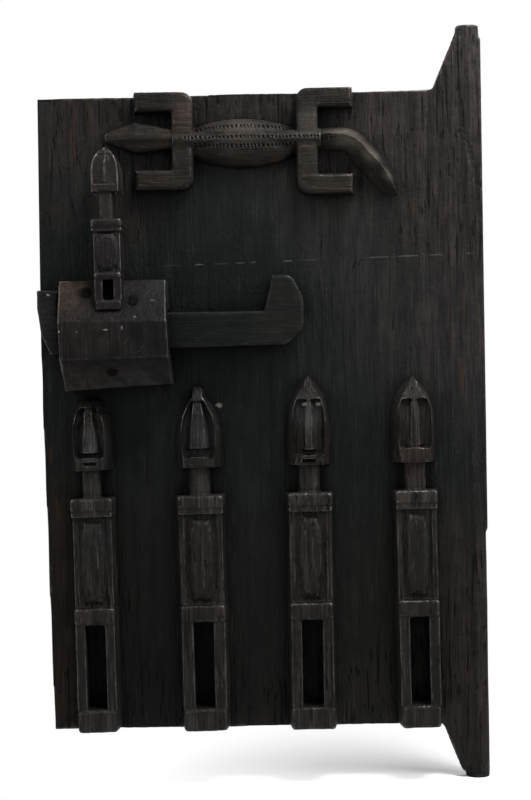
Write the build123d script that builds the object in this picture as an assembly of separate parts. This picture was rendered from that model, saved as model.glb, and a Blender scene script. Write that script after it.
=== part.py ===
from build123d import *
import os
from collections import namedtuple

# A carved wooden granary door. One thick plank has a pintle at each end of its hinge edge, and
# carries a lizard and a row of standing ancestors in relief. A wooden lock is pegged to its
# free side: a faceted case with a figure on top, a sliding crossbolt, and three tumblers that
# drop into the bolt behind the case.
#
# Millimetres. The origin is the tip of the lower pintle, on the axis that the door turns about.
# +Z is up, +X points from the free side to the hinge side, and the carved front faces -Y.

# ---- Plank and pintles -------------------------------------------------------------------
PLANK_THICK = 25.0          # the pintles are as thick as the plank
PANEL_WIDTH = 422.0         # pivot axis to the free edge, along the bottom
FREE_EDGE_FLARE = 10.0      # the panel is this much wider along its top
TOP_EDGE_RISE = 4.0         # the top edge climbs towards the hinge side
LOWER_PINTLE = 58.0         # lower tip to the panel's bottom edge
UPPER_PINTLE = 64.0         # panel's top edge to the upper tip
JOURNAL_LENGTH = 12.0       # round end of each pintle, which turns in a socket
JOURNAL_WEAR = 0.5          # the round ends are this much less in radius than the post
FIN_REACH = 36.0            # how far the fin beside each pintle spreads from the pivot axis
FIN_SET_BACK = 3.0          # how far the fins lie behind the front of the pintles, at the tips
TOP_MARGIN = 0.7            # plain wood between the lizard's front feet and the top edge

# ---- Row of ancestors --------------------------------------------------------------------
# Each was cut by hand. A size that differs along the row is a list, from the free side on.
ANCESTOR_FOOT = 20.5        # heights, from the soles up
ANCESTOR_LEGS = [82.0, 83.5, 84.5, 85.5]
ANCESTOR_HIP = 18.5
ANCESTOR_TORSO = 88.0
ANCESTOR_SHOULDER = 20.0
ANCESTOR_NECK = 26.0
ANCESTOR_HEADS = [72.5, 80.5, 89.0, 86.0]
ANCESTOR_FOOT_WIDTHS = [39.5, 42.0, 44.5, 39.5]
ANCESTOR_HIP_WIDTHS = [40.5, 46.0, 43.5, 41.5]
ANCESTOR_SHOULDER_WIDTHS = [42.0, 46.5, 45.0, 43.0]
ANCESTOR_TORSO_WIDTHS = [25.0, 25.0, 22.0, 25.0]
ANCESTOR_NECK_WIDTHS = [18.5, 22.0, 22.0, 22.0]
ANCESTOR_HEAD_WIDTHS = [36.0, 43.5, 43.0, 45.0]
ANCESTOR_SLOT_WIDTHS = [20.0, 20.0, 20.0, 18.0]     # between the legs
ANCESTOR_DEPTH = 28.0       # how far the figures stand off the panel
ANCESTOR_TIP_DEPTH = 15.0   # the same at the tips of their heads
ANCESTOR_ARM_DROP = 7.0     # arms lie this far behind the rounded torso
ANCESTOR_DRAFT = 3.0        # each side spreads by this much towards the panel
ANCESTOR_RIM = 4.5          # edge of the head round the sunk face
ANCESTOR_CHIN = 10.0        # below the sunk face
ANCESTOR_BROW = 17.0        # above it
ANCESTOR_FACE_SINK = 9.0
ANCESTOR_NOSE_WIDTH = 11.0
ANCESTOR_LEANS = [1.0, 0.75, 0.2, 0.55]     # degrees, heads towards the free side
FREE_EDGE_TO_FIGURE = 44.5                  # free edge to the middle of the first feet
FIGURE_TO_PIVOT = 59.0                      # middle of the last feet to the pivot axis

# ---- Crossbolt and tumblers --------------------------------------------------------------
BOLT_HEIGHT = 39.0
BOLT_THICK = 30.0
BOLT_BEVEL = 4.0            # bevel round the bolt's front
BOLT_HEAD_LENGTH = 23.5     # end block that stops against the case's free side
BOLT_HEAD_HEIGHT = 64.0
HEAD_CORNER = 8.0           # cut corners of the end block
HEAD_DROP = 2.0             # the end block hangs this far below the bolt
BOLT_ARM_LENGTH = 90.0      # case's hinge side to the handle
HANDLE_LENGTH = 40.0
HANDLE_RISE = 35.0          # how far the handle turns up above the bolt
HANDLE_SLOPE = 8.0          # the handle's inner edge leans over by this much
HANDLE_CUT_WIDE = 12.0      # cut corner at the handle's top
HANDLE_CUT_TALL = 22.0
HANDLE_HEEL_WIDE = 17.0     # cut corner at its foot
HANDLE_HEEL_TALL = 17.0
HANDLE_TAPER = 4.0          # the bolt's underside climbs by this much to the handle
BOLT_CLEAR = 0.5            # all round the bolt in its channel
BOLT_BACK_CLEAR = 0.3       # between the bolt and the panel
BOLT_STOP_GAP = 0.4         # between the end block and the case when the bolt is drawn back
BOLT_THROW = 28.0
TUMBLER_WIDTH = 8.0
TUMBLER_DEPTH = 10.0
TUMBLER_HEIGHT = 17.0
TUMBLER_LIFT = 8.0          # how far the key lifts the tumblers, and how deep they drop
TUMBLER_CLEAR = 0.25        # all round a tumbler in its slot
SOCKET_CLEAR = 0.5          # all round a tumbler in its socket in the bolt
SOCKET_SPARE = 1.5          # wood between a tumbler at rest and the next tumbler's socket
KEYWAY_LIP = 8.5            # wood left in the bolt below the groove that the key slides along

# ---- Lock case ---------------------------------------------------------------------------
LOCK_GAP = 6.0              # first ancestor's head to the case
FREE_EDGE_TO_CASE = 17.5    # free edge of the panel's bottom to the case's bottom corner
CASE_SILL = 38.5            # case's bottom edge to the bolt
CASE_ROOF = 5.75            # wood above the tumblers' slots
CASE_FREE_WALL = 7.0        # wood beside the first tumbler, at mid height
CASE_HINGE_WALL = 15.0      # wood beside the last tumbler
CASE_FRONT_WALL = 32.2      # wood in front of the bolt
CASE_EDGE_DEPTH = 35.0      # the case's top and bottom edges stand this far off the panel
MIDDLE_FACET = 31.5         # heights of the two lower facets of the front
LOWER_FACET = 36.0
CASE_LEAN = 5.0             # the case's top is shifted this far towards the free edge
CASE_BOTTOM_RISE = 6.0      # its bottom edge climbs towards the hinge side

# ---- Figure on the lock ------------------------------------------------------------------
FigureSizes = namedtuple(
    "FigureSizes",
    "foot leg hip torso shoulder neck head "
    "foot_width hip_width shoulder_width torso_width arm_drop neck_width slot_width "
    "head_width rim chin brow nose_width depth tip_depth face_sink draft",
)
LOCK_FIGURE = FigureSizes(
    foot=11.0, leg=18.5, hip=8.5, torso=38.5, shoulder=13.0, neck=25.0, head=45.0,
    foot_width=24.0, hip_width=26.5, shoulder_width=30.5, torso_width=23.0, arm_drop=3.0,
    neck_width=16.5, slot_width=8.0, head_width=31.5, rim=3.0, chin=6.0, brow=8.0,
    nose_width=7.0, depth=44.0, tip_depth=32.0, face_sink=5.0, draft=0.5,
)
LOCK_FIGURE_SET_BACK = 4.0  # the figure's front lies this far behind the case's middle facet
LOCK_FIGURE_DROP = 31.5     # its feet stand on the upper facet, this far below the case's top
LOCK_FIGURE_LEAN = 0.9      # degrees, head towards the free side

# ---- Pegs --------------------------------------------------------------------------------
PEG_RADIUS = 5.0
PEG_RECESS = 1.0            # the pegs end this far inside the plank's back
UPPER_PEG_SPREAD = 4.0      # the upper pegs stand this far out from midway between tumblers
UPPER_LEFT_PEG_RISE = 18.0  # bolt channel up to the upper pegs' centres
UPPER_RIGHT_PEG_RISE = 10.0
LOWER_PEG_SHIFT = 2.0       # middle tumbler to the lower peg, sideways
LOWER_PEG_DROP = 18.5       # bolt channel down to the lower peg's centre

# ---- Lizard ------------------------------------------------------------------------------
SNOUT_GAP = 8.0             # lock figure's head to the lizard's spine
LIZARD_TO_PIVOT = 225.0     # middle of the lizard's body to the pivot axis
BODY_WIDTH = 45.0
BODY_RELIEF = 20.0
WAIST_WIDTH = 22.0          # body's width where it meets the legs
LEG_SPREAD = 124.0          # front legs to hind legs
LEG_WIDTH = 22.5
LEG_RELIEF = 17.0
LEG_REACH = 48.0            # spine to the end of each front leg
HIND_LEG_EXTRA = 2.5        # the hind legs reach this much further
TOE_WIDTH = 18.0
FRONT_TOE_LENGTH = 36.0
HIND_TOE_LENGTH = 34.0
NECK_WIDTH = 13.0
LIZARD_HEAD_LENGTH = 66.0
LIZARD_HEAD_WIDTH = 32.0
SNOUT_WIDTH = 8.0
SNOUT_RISE = 5.0            # the snout points a little upwards
TAIL_TIP_RELIEF = 8.0
# The tail's two edges, from the hind legs' outer side and the spine, as it curls down.
TAIL_UPPER_EDGE = [(32.0, 9.0), (53.0, -10.0), (72.5, -33.0), (79.5, -50.0)]
TAIL_LOWER_EDGE = [(75.0, -54.0), (64.5, -46.5), (40.0, -22.0), (23.0, -2.5)]
TAIL_ROOT_TOP = 14.0
TAIL_ROOT_BOTTOM = -2.0

# ---- Values worked out from these --------------------------------------------------------
ANCESTORS = [
    FigureSizes(
        foot=ANCESTOR_FOOT, leg=ANCESTOR_LEGS[number], hip=ANCESTOR_HIP,
        torso=ANCESTOR_TORSO, shoulder=ANCESTOR_SHOULDER, neck=ANCESTOR_NECK,
        head=ANCESTOR_HEADS[number], foot_width=ANCESTOR_FOOT_WIDTHS[number],
        hip_width=ANCESTOR_HIP_WIDTHS[number],
        shoulder_width=ANCESTOR_SHOULDER_WIDTHS[number],
        torso_width=ANCESTOR_TORSO_WIDTHS[number], arm_drop=ANCESTOR_ARM_DROP,
        neck_width=ANCESTOR_NECK_WIDTHS[number], slot_width=ANCESTOR_SLOT_WIDTHS[number],
        head_width=ANCESTOR_HEAD_WIDTHS[number], rim=ANCESTOR_RIM, chin=ANCESTOR_CHIN,
        brow=ANCESTOR_BROW, nose_width=ANCESTOR_NOSE_WIDTH, depth=ANCESTOR_DEPTH,
        tip_depth=ANCESTOR_TIP_DEPTH, face_sink=ANCESTOR_FACE_SINK, draft=ANCESTOR_DRAFT,
    )
    for number in range(len(ANCESTOR_LEANS))
]

POST_RADIUS = PLANK_THICK / 2
JOURNAL_RADIUS = POST_RADIUS - JOURNAL_WEAR
FACE_Y = -PLANK_THICK / 2
PANEL_BOTTOM = LOWER_PINTLE


def figure_height(sizes):
    """A figure's height from the soles of its feet to the tip of its head."""
    body = sizes.foot + sizes.leg + sizes.hip + sizes.torso + sizes.shoulder
    return body + sizes.neck + sizes.head


CHANNEL_HEIGHT = BOLT_HEIGHT + 2 * BOLT_CLEAR
CHANNEL_DEPTH = BOLT_BACK_CLEAR + BOLT_THICK + BOLT_CLEAR
SLOT_HEIGHT = TUMBLER_HEIGHT + TUMBLER_LIFT + TUMBLER_CLEAR
SLOT_DEPTH = BOLT_BACK_CLEAR + TUMBLER_DEPTH + TUMBLER_CLEAR
SOCKET_DROP = TUMBLER_LIFT + SOCKET_CLEAR
SOCKET_DEPTH = BOLT_BACK_CLEAR + TUMBLER_DEPTH + SOCKET_CLEAR
TUMBLER_PITCH = BOLT_THROW + TUMBLER_WIDTH + SOCKET_CLEAR + SOCKET_SPARE

CASE_WIDTH = CASE_FREE_WALL + 2 * TUMBLER_PITCH + TUMBLER_WIDTH + CASE_HINGE_WALL
CASE_HEIGHT = CASE_SILL - BOLT_CLEAR + CHANNEL_HEIGHT + SLOT_HEIGHT + CASE_ROOF
CASE_RIDGE_DEPTH = CHANNEL_DEPTH + CASE_FRONT_WALL
CASE_BOTTOM = PANEL_BOTTOM + figure_height(ANCESTORS[0]) + LOCK_GAP
CASE_TOP = CASE_BOTTOM + CASE_HEIGHT
CASE_FREE_SIDE = FREE_EDGE_TO_CASE - PANEL_WIDTH
CASE_HINGE_SIDE = CASE_FREE_SIDE + CASE_WIDTH

BOLT_BOTTOM = CASE_BOTTOM + CASE_SILL
BOLT_TOP = BOLT_BOTTOM + BOLT_HEIGHT
CHANNEL_BOTTOM = BOLT_BOTTOM - BOLT_CLEAR
CHANNEL_TOP = BOLT_TOP + BOLT_CLEAR
# The middle tumbler, with the figure above it.
LOCK_LINE = CASE_FREE_SIDE - CASE_LEAN / 2 + CASE_FREE_WALL + TUMBLER_WIDTH / 2 + TUMBLER_PITCH
TUMBLERS = {
    "tumbler_left": LOCK_LINE - TUMBLER_PITCH,
    "tumbler_middle": LOCK_LINE,
    "tumbler_right": LOCK_LINE + TUMBLER_PITCH,
}
PEG_SPREAD = TUMBLER_PITCH / 2 + UPPER_PEG_SPREAD
PEGS = {
    "case_peg_upper_left": (LOCK_LINE - PEG_SPREAD, CHANNEL_TOP + UPPER_LEFT_PEG_RISE),
    "case_peg_upper_right": (LOCK_LINE + PEG_SPREAD, CHANNEL_TOP + UPPER_RIGHT_PEG_RISE),
    "case_peg_lower": (LOCK_LINE + LOWER_PEG_SHIFT, CHANNEL_BOTTOM - LOWER_PEG_DROP),
}

LOCK_FIGURE_FEET = CASE_TOP - LOCK_FIGURE_DROP
LOCK_FIGURE_BACK = CASE_RIDGE_DEPTH - LOCK_FIGURE_SET_BACK - LOCK_FIGURE.depth
SPINE_Z = LOCK_FIGURE_FEET + figure_height(LOCK_FIGURE) + SNOUT_GAP
PANEL_TOP = SPINE_Z + LEG_REACH + TOP_MARGIN
HINGE_TOP = PANEL_TOP + TOP_EDGE_RISE
DOOR_HEIGHT = HINGE_TOP + UPPER_PINTLE


# ---- Drawing planes and small helpers ----------------------------------------------------
def front_plane(off_panel=0.0):
    """The panel's front, drawn as X and Z, with extrusions coming out of the carving."""
    return Plane(origin=(0, FACE_Y - off_panel, 0), x_dir=(1, 0, 0), z_dir=(0, -1, 0))


def side_plane():
    """A plane seen from the side: first how far something stands off, then its height."""
    return Plane(origin=(0, 0, 0), x_dir=(0, -1, 0), z_dir=(-1, 0, 0))


def face_block(left, right, low, high, near, far):
    """A block on the panel's front, from one distance off the panel to another."""
    middle = ((left + right) / 2, FACE_Y - (near + far) / 2, (low + high) / 2)
    return Pos(*middle) * Box(right - left, far - near, high - low)


def upright(plan, low, high):
    """Raise a plan, drawn from above, from one level to another."""
    return extrude(Plane.XY.offset(low) * plan, high - low, dir=(0, 0, 1))


def forward(drawing, near, far):
    """Bring a drawing of the front out of the panel, from one distance off it to another."""
    return extrude(front_plane(near) * drawing, far - near, dir=(0, -1, 0))


def peg_cylinder(peg):
    """A cylinder through the case and the plank, on a peg's axis."""
    x, z = PEGS[peg]
    length = PLANK_THICK + CASE_RIDGE_DEPTH
    centre = Pos(x, PLANK_THICK / 2 - length / 2, z)
    return centre * Rot(90, 0, 0) * Cylinder(PEG_RADIUS, length)


# ---- Plank -------------------------------------------------------------------------------
def door_plank():
    """The panel, with a fin running out to each pintle and a round post along the hinge edge."""
    journal_top = DOOR_HEIGHT - JOURNAL_LENGTH
    outline = Polygon(
        (-PANEL_WIDTH, PANEL_BOTTOM),
        (-FIN_REACH, PANEL_BOTTOM),
        (-POST_RADIUS, JOURNAL_LENGTH),
        (0, JOURNAL_LENGTH),
        (0, journal_top),
        (-POST_RADIUS, journal_top),
        (-FIN_REACH, HINGE_TOP),
        (-PANEL_WIDTH - FREE_EDGE_FLARE, PANEL_TOP),
        align=None,
    )
    plank = forward(outline, -PLANK_THICK, 0)
    for base, tip in [(PANEL_BOTTOM, 0), (HINGE_TOP, DOOR_HEIGHT)]:
        wedge = Polygon(
            (-FACE_Y, base),
            (-FACE_Y, tip),
            (-FACE_Y - FIN_SET_BACK, tip),
            align=None,
        )
        plank -= extrude(side_plane() * wedge, PANEL_WIDTH, both=True)
    post_length = DOOR_HEIGHT - 2 * JOURNAL_LENGTH
    plank += Pos(0, 0, DOOR_HEIGHT / 2) * Cylinder(POST_RADIUS, post_length)
    plank += Pos(0, 0, DOOR_HEIGHT / 2) * Cylinder(JOURNAL_RADIUS, DOOR_HEIGHT)
    for peg in PEGS:
        plank -= peg_cylinder(peg)
    return plank


# ---- Standing figures --------------------------------------------------------------------
def drafted_plan(width, depth, draft):
    """Plan of a carved block: its back on Y = 0, and its sides drawn in towards the front."""
    half = width / 2
    return Polygon(
        (-half - draft, 0), (half + draft, 0), (half, -depth), (-half, -depth), align=None
    )


def rounded_plan(width, depth):
    """Plan of a column that stands on Y = 0 with a rounded front."""
    round_front = Pos(0, width / 2 - depth) * Circle(width / 2)
    stem = Pos(0, width / 2 - depth) * Rectangle(width, depth, align=(Align.CENTER, Align.MIN))
    in_front = Pos(0, -depth) * Rectangle(2 * width, depth, align=(Align.CENTER, Align.MIN))
    return (round_front + stem) & in_front


def bullet(width, height, base):
    """Outline of a head from the front: a tall half ellipse on its chin line."""
    dome = Pos(0, base) * Ellipse(width / 2, height)
    return dome & Pos(0, base + height / 2) * Rectangle(width, height)


def from_back(drawing, depth):
    """Bring a drawing of a figure's front forward from the plane of its back."""
    return Pos(0, -FACE_Y, 0) * forward(drawing, 0, depth)


def head_profile(sizes, base, sink):
    """Side view of a head whose front leans back to its tip, as a block to trim the head with."""
    bend = base + sizes.head / 2
    top = base + sizes.head
    profile = Polygon(
        (0, base), (sizes.depth - sink, base), (sizes.depth - sink, bend),
        (sizes.tip_depth - sink, top), (0, top), align=None
    )
    return extrude(side_plane() * profile, sizes.head_width, both=True)


def carved_head(sizes, base):
    """A pointed head: a rim round a sunk face, with a straight nose from the brow down."""
    outer = from_back(bullet(sizes.head_width, sizes.head, base), sizes.depth)
    face_width = sizes.head_width - 2 * sizes.rim
    face_height = sizes.head - sizes.chin - sizes.brow
    inner = from_back(bullet(face_width, face_height, base + sizes.chin), sizes.depth)
    ridge_width = sizes.nose_width / 2
    nose_plan = drafted_plan(ridge_width, sizes.depth, (sizes.nose_width - ridge_width) / 2)
    nose = upright(nose_plan, base + sizes.chin + sizes.rim, base + sizes.head - sizes.brow)
    face = (outer & head_profile(sizes, base, sizes.face_sink)) + nose
    rim = outer - inner
    return (face + rim) & head_profile(sizes, base, 0)


def standing_figure(sizes):
    """A figure with its back on Y = 0 and its feet on Z = 0, looking towards -Y."""
    ankle = sizes.foot
    hips = ankle + sizes.leg
    waist = hips + sizes.hip
    chest = waist + sizes.torso
    collar = chest + sizes.shoulder
    chin = collar + sizes.neck
    leg_width = min(sizes.foot_width, sizes.hip_width)
    arm_width = min(sizes.shoulder_width, sizes.hip_width)
    arm_depth = sizes.depth - sizes.arm_drop
    slot = Pos(0, -sizes.depth / 2) * Rectangle(sizes.slot_width, sizes.depth)
    legs = drafted_plan(leg_width, sizes.depth, sizes.draft) - slot
    figure = upright(drafted_plan(sizes.foot_width, sizes.depth, sizes.draft), 0, ankle)
    figure += upright(legs, ankle, hips)
    figure += upright(drafted_plan(sizes.hip_width, sizes.depth, sizes.draft), hips, waist)
    figure += upright(drafted_plan(arm_width, arm_depth, sizes.draft), waist, chest)
    figure += upright(rounded_plan(sizes.torso_width, sizes.depth), waist, chest)
    figure += upright(
        drafted_plan(sizes.shoulder_width, sizes.depth, sizes.draft), chest, collar
    )
    figure += upright(rounded_plan(sizes.neck_width, arm_depth), collar, chin)
    return figure + carved_head(sizes, chin)


def ancestor(number):
    """One of the row of ancestors, standing on the panel's bottom edge."""
    row = PANEL_WIDTH - FREE_EDGE_TO_FIGURE - FIGURE_TO_PIVOT
    pitch = row / (len(ANCESTORS) - 1)
    x = -PANEL_WIDTH + FREE_EDGE_TO_FIGURE + number * pitch
    place = Pos(x, FACE_Y, PANEL_BOTTOM) * Rot(0, -ANCESTOR_LEANS[number], 0)
    figure = place * standing_figure(ANCESTORS[number])
    below = Pos(x, FACE_Y, PANEL_BOTTOM) * Box(
        PANEL_WIDTH, PANEL_WIDTH, LOWER_PINTLE, align=(Align.CENTER, Align.CENTER, Align.MAX)
    )
    return figure - below


# ---- Lock --------------------------------------------------------------------------------
def case_blank():
    """The lock case before its channel and slots are cut: three facets between two sides."""
    outline = Polygon(
        (CASE_FREE_SIDE, CASE_BOTTOM),
        (CASE_HINGE_SIDE, CASE_BOTTOM + CASE_BOTTOM_RISE),
        (CASE_HINGE_SIDE - CASE_LEAN, CASE_TOP),
        (CASE_FREE_SIDE - CASE_LEAN, CASE_TOP),
        align=None,
    )
    lower_ridge = CASE_BOTTOM + LOWER_FACET
    profile = Polygon(
        (0, CASE_BOTTOM),
        (CASE_EDGE_DEPTH, CASE_BOTTOM),
        (CASE_RIDGE_DEPTH, lower_ridge),
        (CASE_RIDGE_DEPTH, lower_ridge + MIDDLE_FACET),
        (CASE_EDGE_DEPTH, CASE_TOP),
        (0, CASE_TOP),
        align=None,
    )
    facets = Pos(0, FACE_Y, 0) * extrude(side_plane() * profile, PANEL_WIDTH, both=True)
    return forward(outline, 0, CASE_RIDGE_DEPTH) & facets


def lock_case():
    """The case, hollowed from behind for the bolt and the tumblers, and bored for its pegs."""
    case = case_blank()
    left = CASE_FREE_SIDE - CASE_WIDTH
    right = CASE_HINGE_SIDE + CASE_WIDTH
    case -= face_block(left, right, CHANNEL_BOTTOM, CHANNEL_TOP, 0, CHANNEL_DEPTH)
    slot_top = CHANNEL_TOP + SLOT_HEIGHT
    slot_half = TUMBLER_WIDTH / 2 + TUMBLER_CLEAR
    for x in TUMBLERS.values():
        case -= face_block(x - slot_half, x + slot_half, BOLT_TOP, slot_top, 0, SLOT_DEPTH)
    for peg in PEGS:
        case -= peg_cylinder(peg)
    return case


def lock_figure():
    """The figure on the case, standing on its upper facet and rising above its top."""
    place = Pos(LOCK_LINE, FACE_Y - LOCK_FIGURE_BACK, LOCK_FIGURE_FEET)
    figure = place * Rot(0, -LOCK_FIGURE_LEAN, 0) * standing_figure(LOCK_FIGURE)
    return figure - case_blank()


def case_peg(peg):
    """A wooden peg through the case and the plank, trimmed flush with the case's facet."""
    plank = Pos(PEGS[peg][0], -PEG_RECESS / 2, PEGS[peg][1]) * Box(
        4 * PEG_RADIUS, PLANK_THICK - PEG_RECESS, 4 * PEG_RADIUS
    )
    return peg_cylinder(peg) & (plank + case_blank())


def bolt_stop(z):
    """X of the end block's inner face, which lies along the case's free side, at a height."""
    case_side = CASE_FREE_SIDE - CASE_LEAN * (z - CASE_BOTTOM) / CASE_HEIGHT
    return case_side - BOLT_STOP_GAP


def bolt_outline():
    """The bolt from the front, drawn back: end block, bar and turned-up handle."""
    head_low = BOLT_BOTTOM - HEAD_DROP
    head_high = head_low + BOLT_HEAD_HEIGHT
    head_end = bolt_stop(BOLT_TOP) - BOLT_HEAD_LENGTH
    handle_start = CASE_HINGE_SIDE + BOLT_ARM_LENGTH
    handle_end = handle_start + HANDLE_LENGTH
    handle_low = BOLT_BOTTOM + HANDLE_TAPER
    handle_high = BOLT_TOP + HANDLE_RISE
    return Polygon(
        (head_end + HEAD_CORNER, head_low),
        (bolt_stop(head_low), head_low),
        (bolt_stop(BOLT_BOTTOM), BOLT_BOTTOM),
        (CASE_HINGE_SIDE + BOLT_THROW, BOLT_BOTTOM),
        (handle_end - HANDLE_HEEL_WIDE, handle_low),
        (handle_end, handle_low + HANDLE_HEEL_TALL),
        (handle_end, handle_high - HANDLE_CUT_TALL),
        (handle_end - HANDLE_CUT_WIDE, handle_high),
        (handle_start + HANDLE_SLOPE, handle_high),
        (handle_start, BOLT_TOP),
        (bolt_stop(BOLT_TOP), BOLT_TOP),
        (bolt_stop(head_high), head_high),
        (head_end + HEAD_CORNER, head_high),
        (head_end, head_high - HEAD_CORNER),
        (head_end, head_low + BOLT_HEIGHT),
        align=None,
    )


def crossbolt():
    """The sliding bolt, with a socket for each tumbler and the groove that the key enters by."""
    front = BOLT_BACK_CLEAR + BOLT_THICK
    blank = forward(bolt_outline(), BOLT_BACK_CLEAR, front)
    front_face = blank.faces().sort_by(Axis.Y)[0]
    bolt = chamfer(front_face.edges(), BOLT_BEVEL)
    socket_bottom = BOLT_TOP - SOCKET_DROP
    socket_half = TUMBLER_WIDTH / 2 + SOCKET_CLEAR
    for x in TUMBLERS.values():
        left = x + BOLT_THROW - socket_half
        right = x + BOLT_THROW + socket_half
        bolt -= face_block(left, right, socket_bottom, CHANNEL_TOP, 0, SOCKET_DEPTH)
    keyway_start = TUMBLERS["tumbler_left"] + BOLT_THROW - socket_half
    past_handle = CASE_HINGE_SIDE + BOLT_ARM_LENGTH + 2 * HANDLE_LENGTH
    keyway_bottom = BOLT_BOTTOM + KEYWAY_LIP
    bolt -= face_block(
        keyway_start, past_handle, keyway_bottom, socket_bottom, 0, SOCKET_DEPTH
    )
    return bolt


def tumbler(x):
    """A loose block of hard wood, resting just above the bolt when the bolt is drawn back."""
    half = TUMBLER_WIDTH / 2
    top = CHANNEL_TOP + TUMBLER_HEIGHT
    far = BOLT_BACK_CLEAR + TUMBLER_DEPTH
    return face_block(x - half, x + half, CHANNEL_TOP, top, BOLT_BACK_CLEAR, far)


# ---- Lizard ------------------------------------------------------------------------------
def lizard_relief():
    """The lizard from above: snout towards the free side, feet turned out, tail curling down."""
    x = -LIZARD_TO_PIVOT
    front_leg = x - LEG_SPREAD / 2
    hind_leg = x + LEG_SPREAD / 2

    def bar(left, right, low, high):
        return face_block(left, right, SPINE_Z + low, SPINE_Z + high, 0, LEG_RELIEF)

    hind_reach = LEG_REACH + HIND_LEG_EXTRA
    leg_half = LEG_WIDTH / 2
    lizard = bar(front_leg - leg_half, front_leg + leg_half, -LEG_REACH, LEG_REACH)
    lizard += bar(hind_leg - leg_half, hind_leg + leg_half, -hind_reach, hind_reach)
    for side in (-1, 1):
        front_toe = sorted([side * LEG_REACH, side * (LEG_REACH - TOE_WIDTH)])
        hind_toe = sorted([side * hind_reach, side * (hind_reach - TOE_WIDTH)])
        lizard += bar(front_leg - leg_half - FRONT_TOE_LENGTH, front_leg, *front_toe)
        lizard += bar(hind_leg, hind_leg + leg_half + HIND_TOE_LENGTH, *hind_toe)

    half = WAIST_WIDTH / 2
    back = ThreePointArc((front_leg, half), (x, BODY_WIDTH / 2), (hind_leg, half))
    belly = ThreePointArc((hind_leg, -half), (x, -BODY_WIDTH / 2), (front_leg, -half))
    body = make_face([back, Line(back @ 1, belly @ 0), belly, Line(belly @ 1, back @ 0)])
    lizard += forward(Pos(0, SPINE_Z) * body, 0, BODY_RELIEF)

    neck = front_leg - leg_half
    cheek = neck - LIZARD_HEAD_LENGTH / 2
    snout = neck - LIZARD_HEAD_LENGTH
    head = Polygon(
        (front_leg, -NECK_WIDTH / 2),
        (front_leg, NECK_WIDTH / 2 + SNOUT_RISE / 2),
        (neck, NECK_WIDTH / 2 + SNOUT_RISE / 2),
        (cheek, LIZARD_HEAD_WIDTH / 2 + SNOUT_RISE / 2),
        (snout, SNOUT_WIDTH / 2 + SNOUT_RISE),
        (snout, -SNOUT_WIDTH / 2 + SNOUT_RISE),
        (cheek, -LIZARD_HEAD_WIDTH / 2 + SNOUT_RISE / 2),
        (neck, -NECK_WIDTH / 2),
        align=None,
    )
    lizard += forward(Pos(0, SPINE_Z) * head, 0, LEG_RELIEF)

    root = hind_leg + leg_half
    top_edge = [(root + along, up) for along, up in TAIL_UPPER_EDGE]
    low_edge = [(root + along, up) for along, up in TAIL_LOWER_EDGE]
    upper = Spline([(hind_leg, TAIL_ROOT_TOP), (root, TAIL_ROOT_TOP)] + top_edge)
    lower = Spline(low_edge + [(root, TAIL_ROOT_BOTTOM), (hind_leg, TAIL_ROOT_BOTTOM)])
    tail = make_face([upper, Line(upper @ 1, lower @ 0), lower, Line(lower @ 1, upper @ 0)])
    tip = max(along for along, up in TAIL_UPPER_EDGE)
    slope = Polygon(
        (hind_leg, FACE_Y),
        (hind_leg, FACE_Y - LEG_RELIEF),
        (root, FACE_Y - LEG_RELIEF),
        (root + tip, FACE_Y - TAIL_TIP_RELIEF),
        (root + 2 * tip, FACE_Y - TAIL_TIP_RELIEF),
        (root + 2 * tip, FACE_Y),
        align=None,
    )
    thinning = upright(slope, SPINE_Z - 2 * tip, SPINE_Z + 2 * tip)
    lizard += forward(Pos(0, SPINE_Z) * tail, 0, LEG_RELIEF) & thinning
    return lizard


# ---- The whole door ----------------------------------------------------------------------
def build_nodes():
    """Every sub-part by the name of its file."""
    nodes = {"door_plank": door_plank(), "lizard_relief": lizard_relief()}
    for number in range(len(ANCESTORS)):
        nodes[f"ancestor_figure_{number + 1}"] = ancestor(number)
    nodes["lock_case"] = lock_case()
    nodes["lock_figure"] = lock_figure()
    nodes["crossbolt"] = crossbolt()
    for name, x in TUMBLERS.items():
        nodes[name] = tumbler(x)
    for peg in PEGS:
        nodes[peg] = case_peg(peg)
    return nodes


os.makedirs("parts", exist_ok=True)
for name, solid in build_nodes().items():
    export_step(solid, f"parts/{name}.step")
print(f"upper pintle's tip at {DOOR_HEIGHT:.2f}, bolt from {BOLT_BOTTOM:.2f} to {BOLT_TOP:.2f}")
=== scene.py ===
# %% [markdown]
# # A carved granary door
#
# The door is one thick plank of very dark wood that turns on two pintles, the posts at the ends of
# its right edge. A lizard and four standing ancestors are carved from the plank itself, and a
# wooden lock with its own small figure is pegged to the left side. The measured model stays as it
# is and tells us where everything goes, so each piece that we carve is placed by its box.

# %% Load the measured model
import math
from collections import namedtuple

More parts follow.
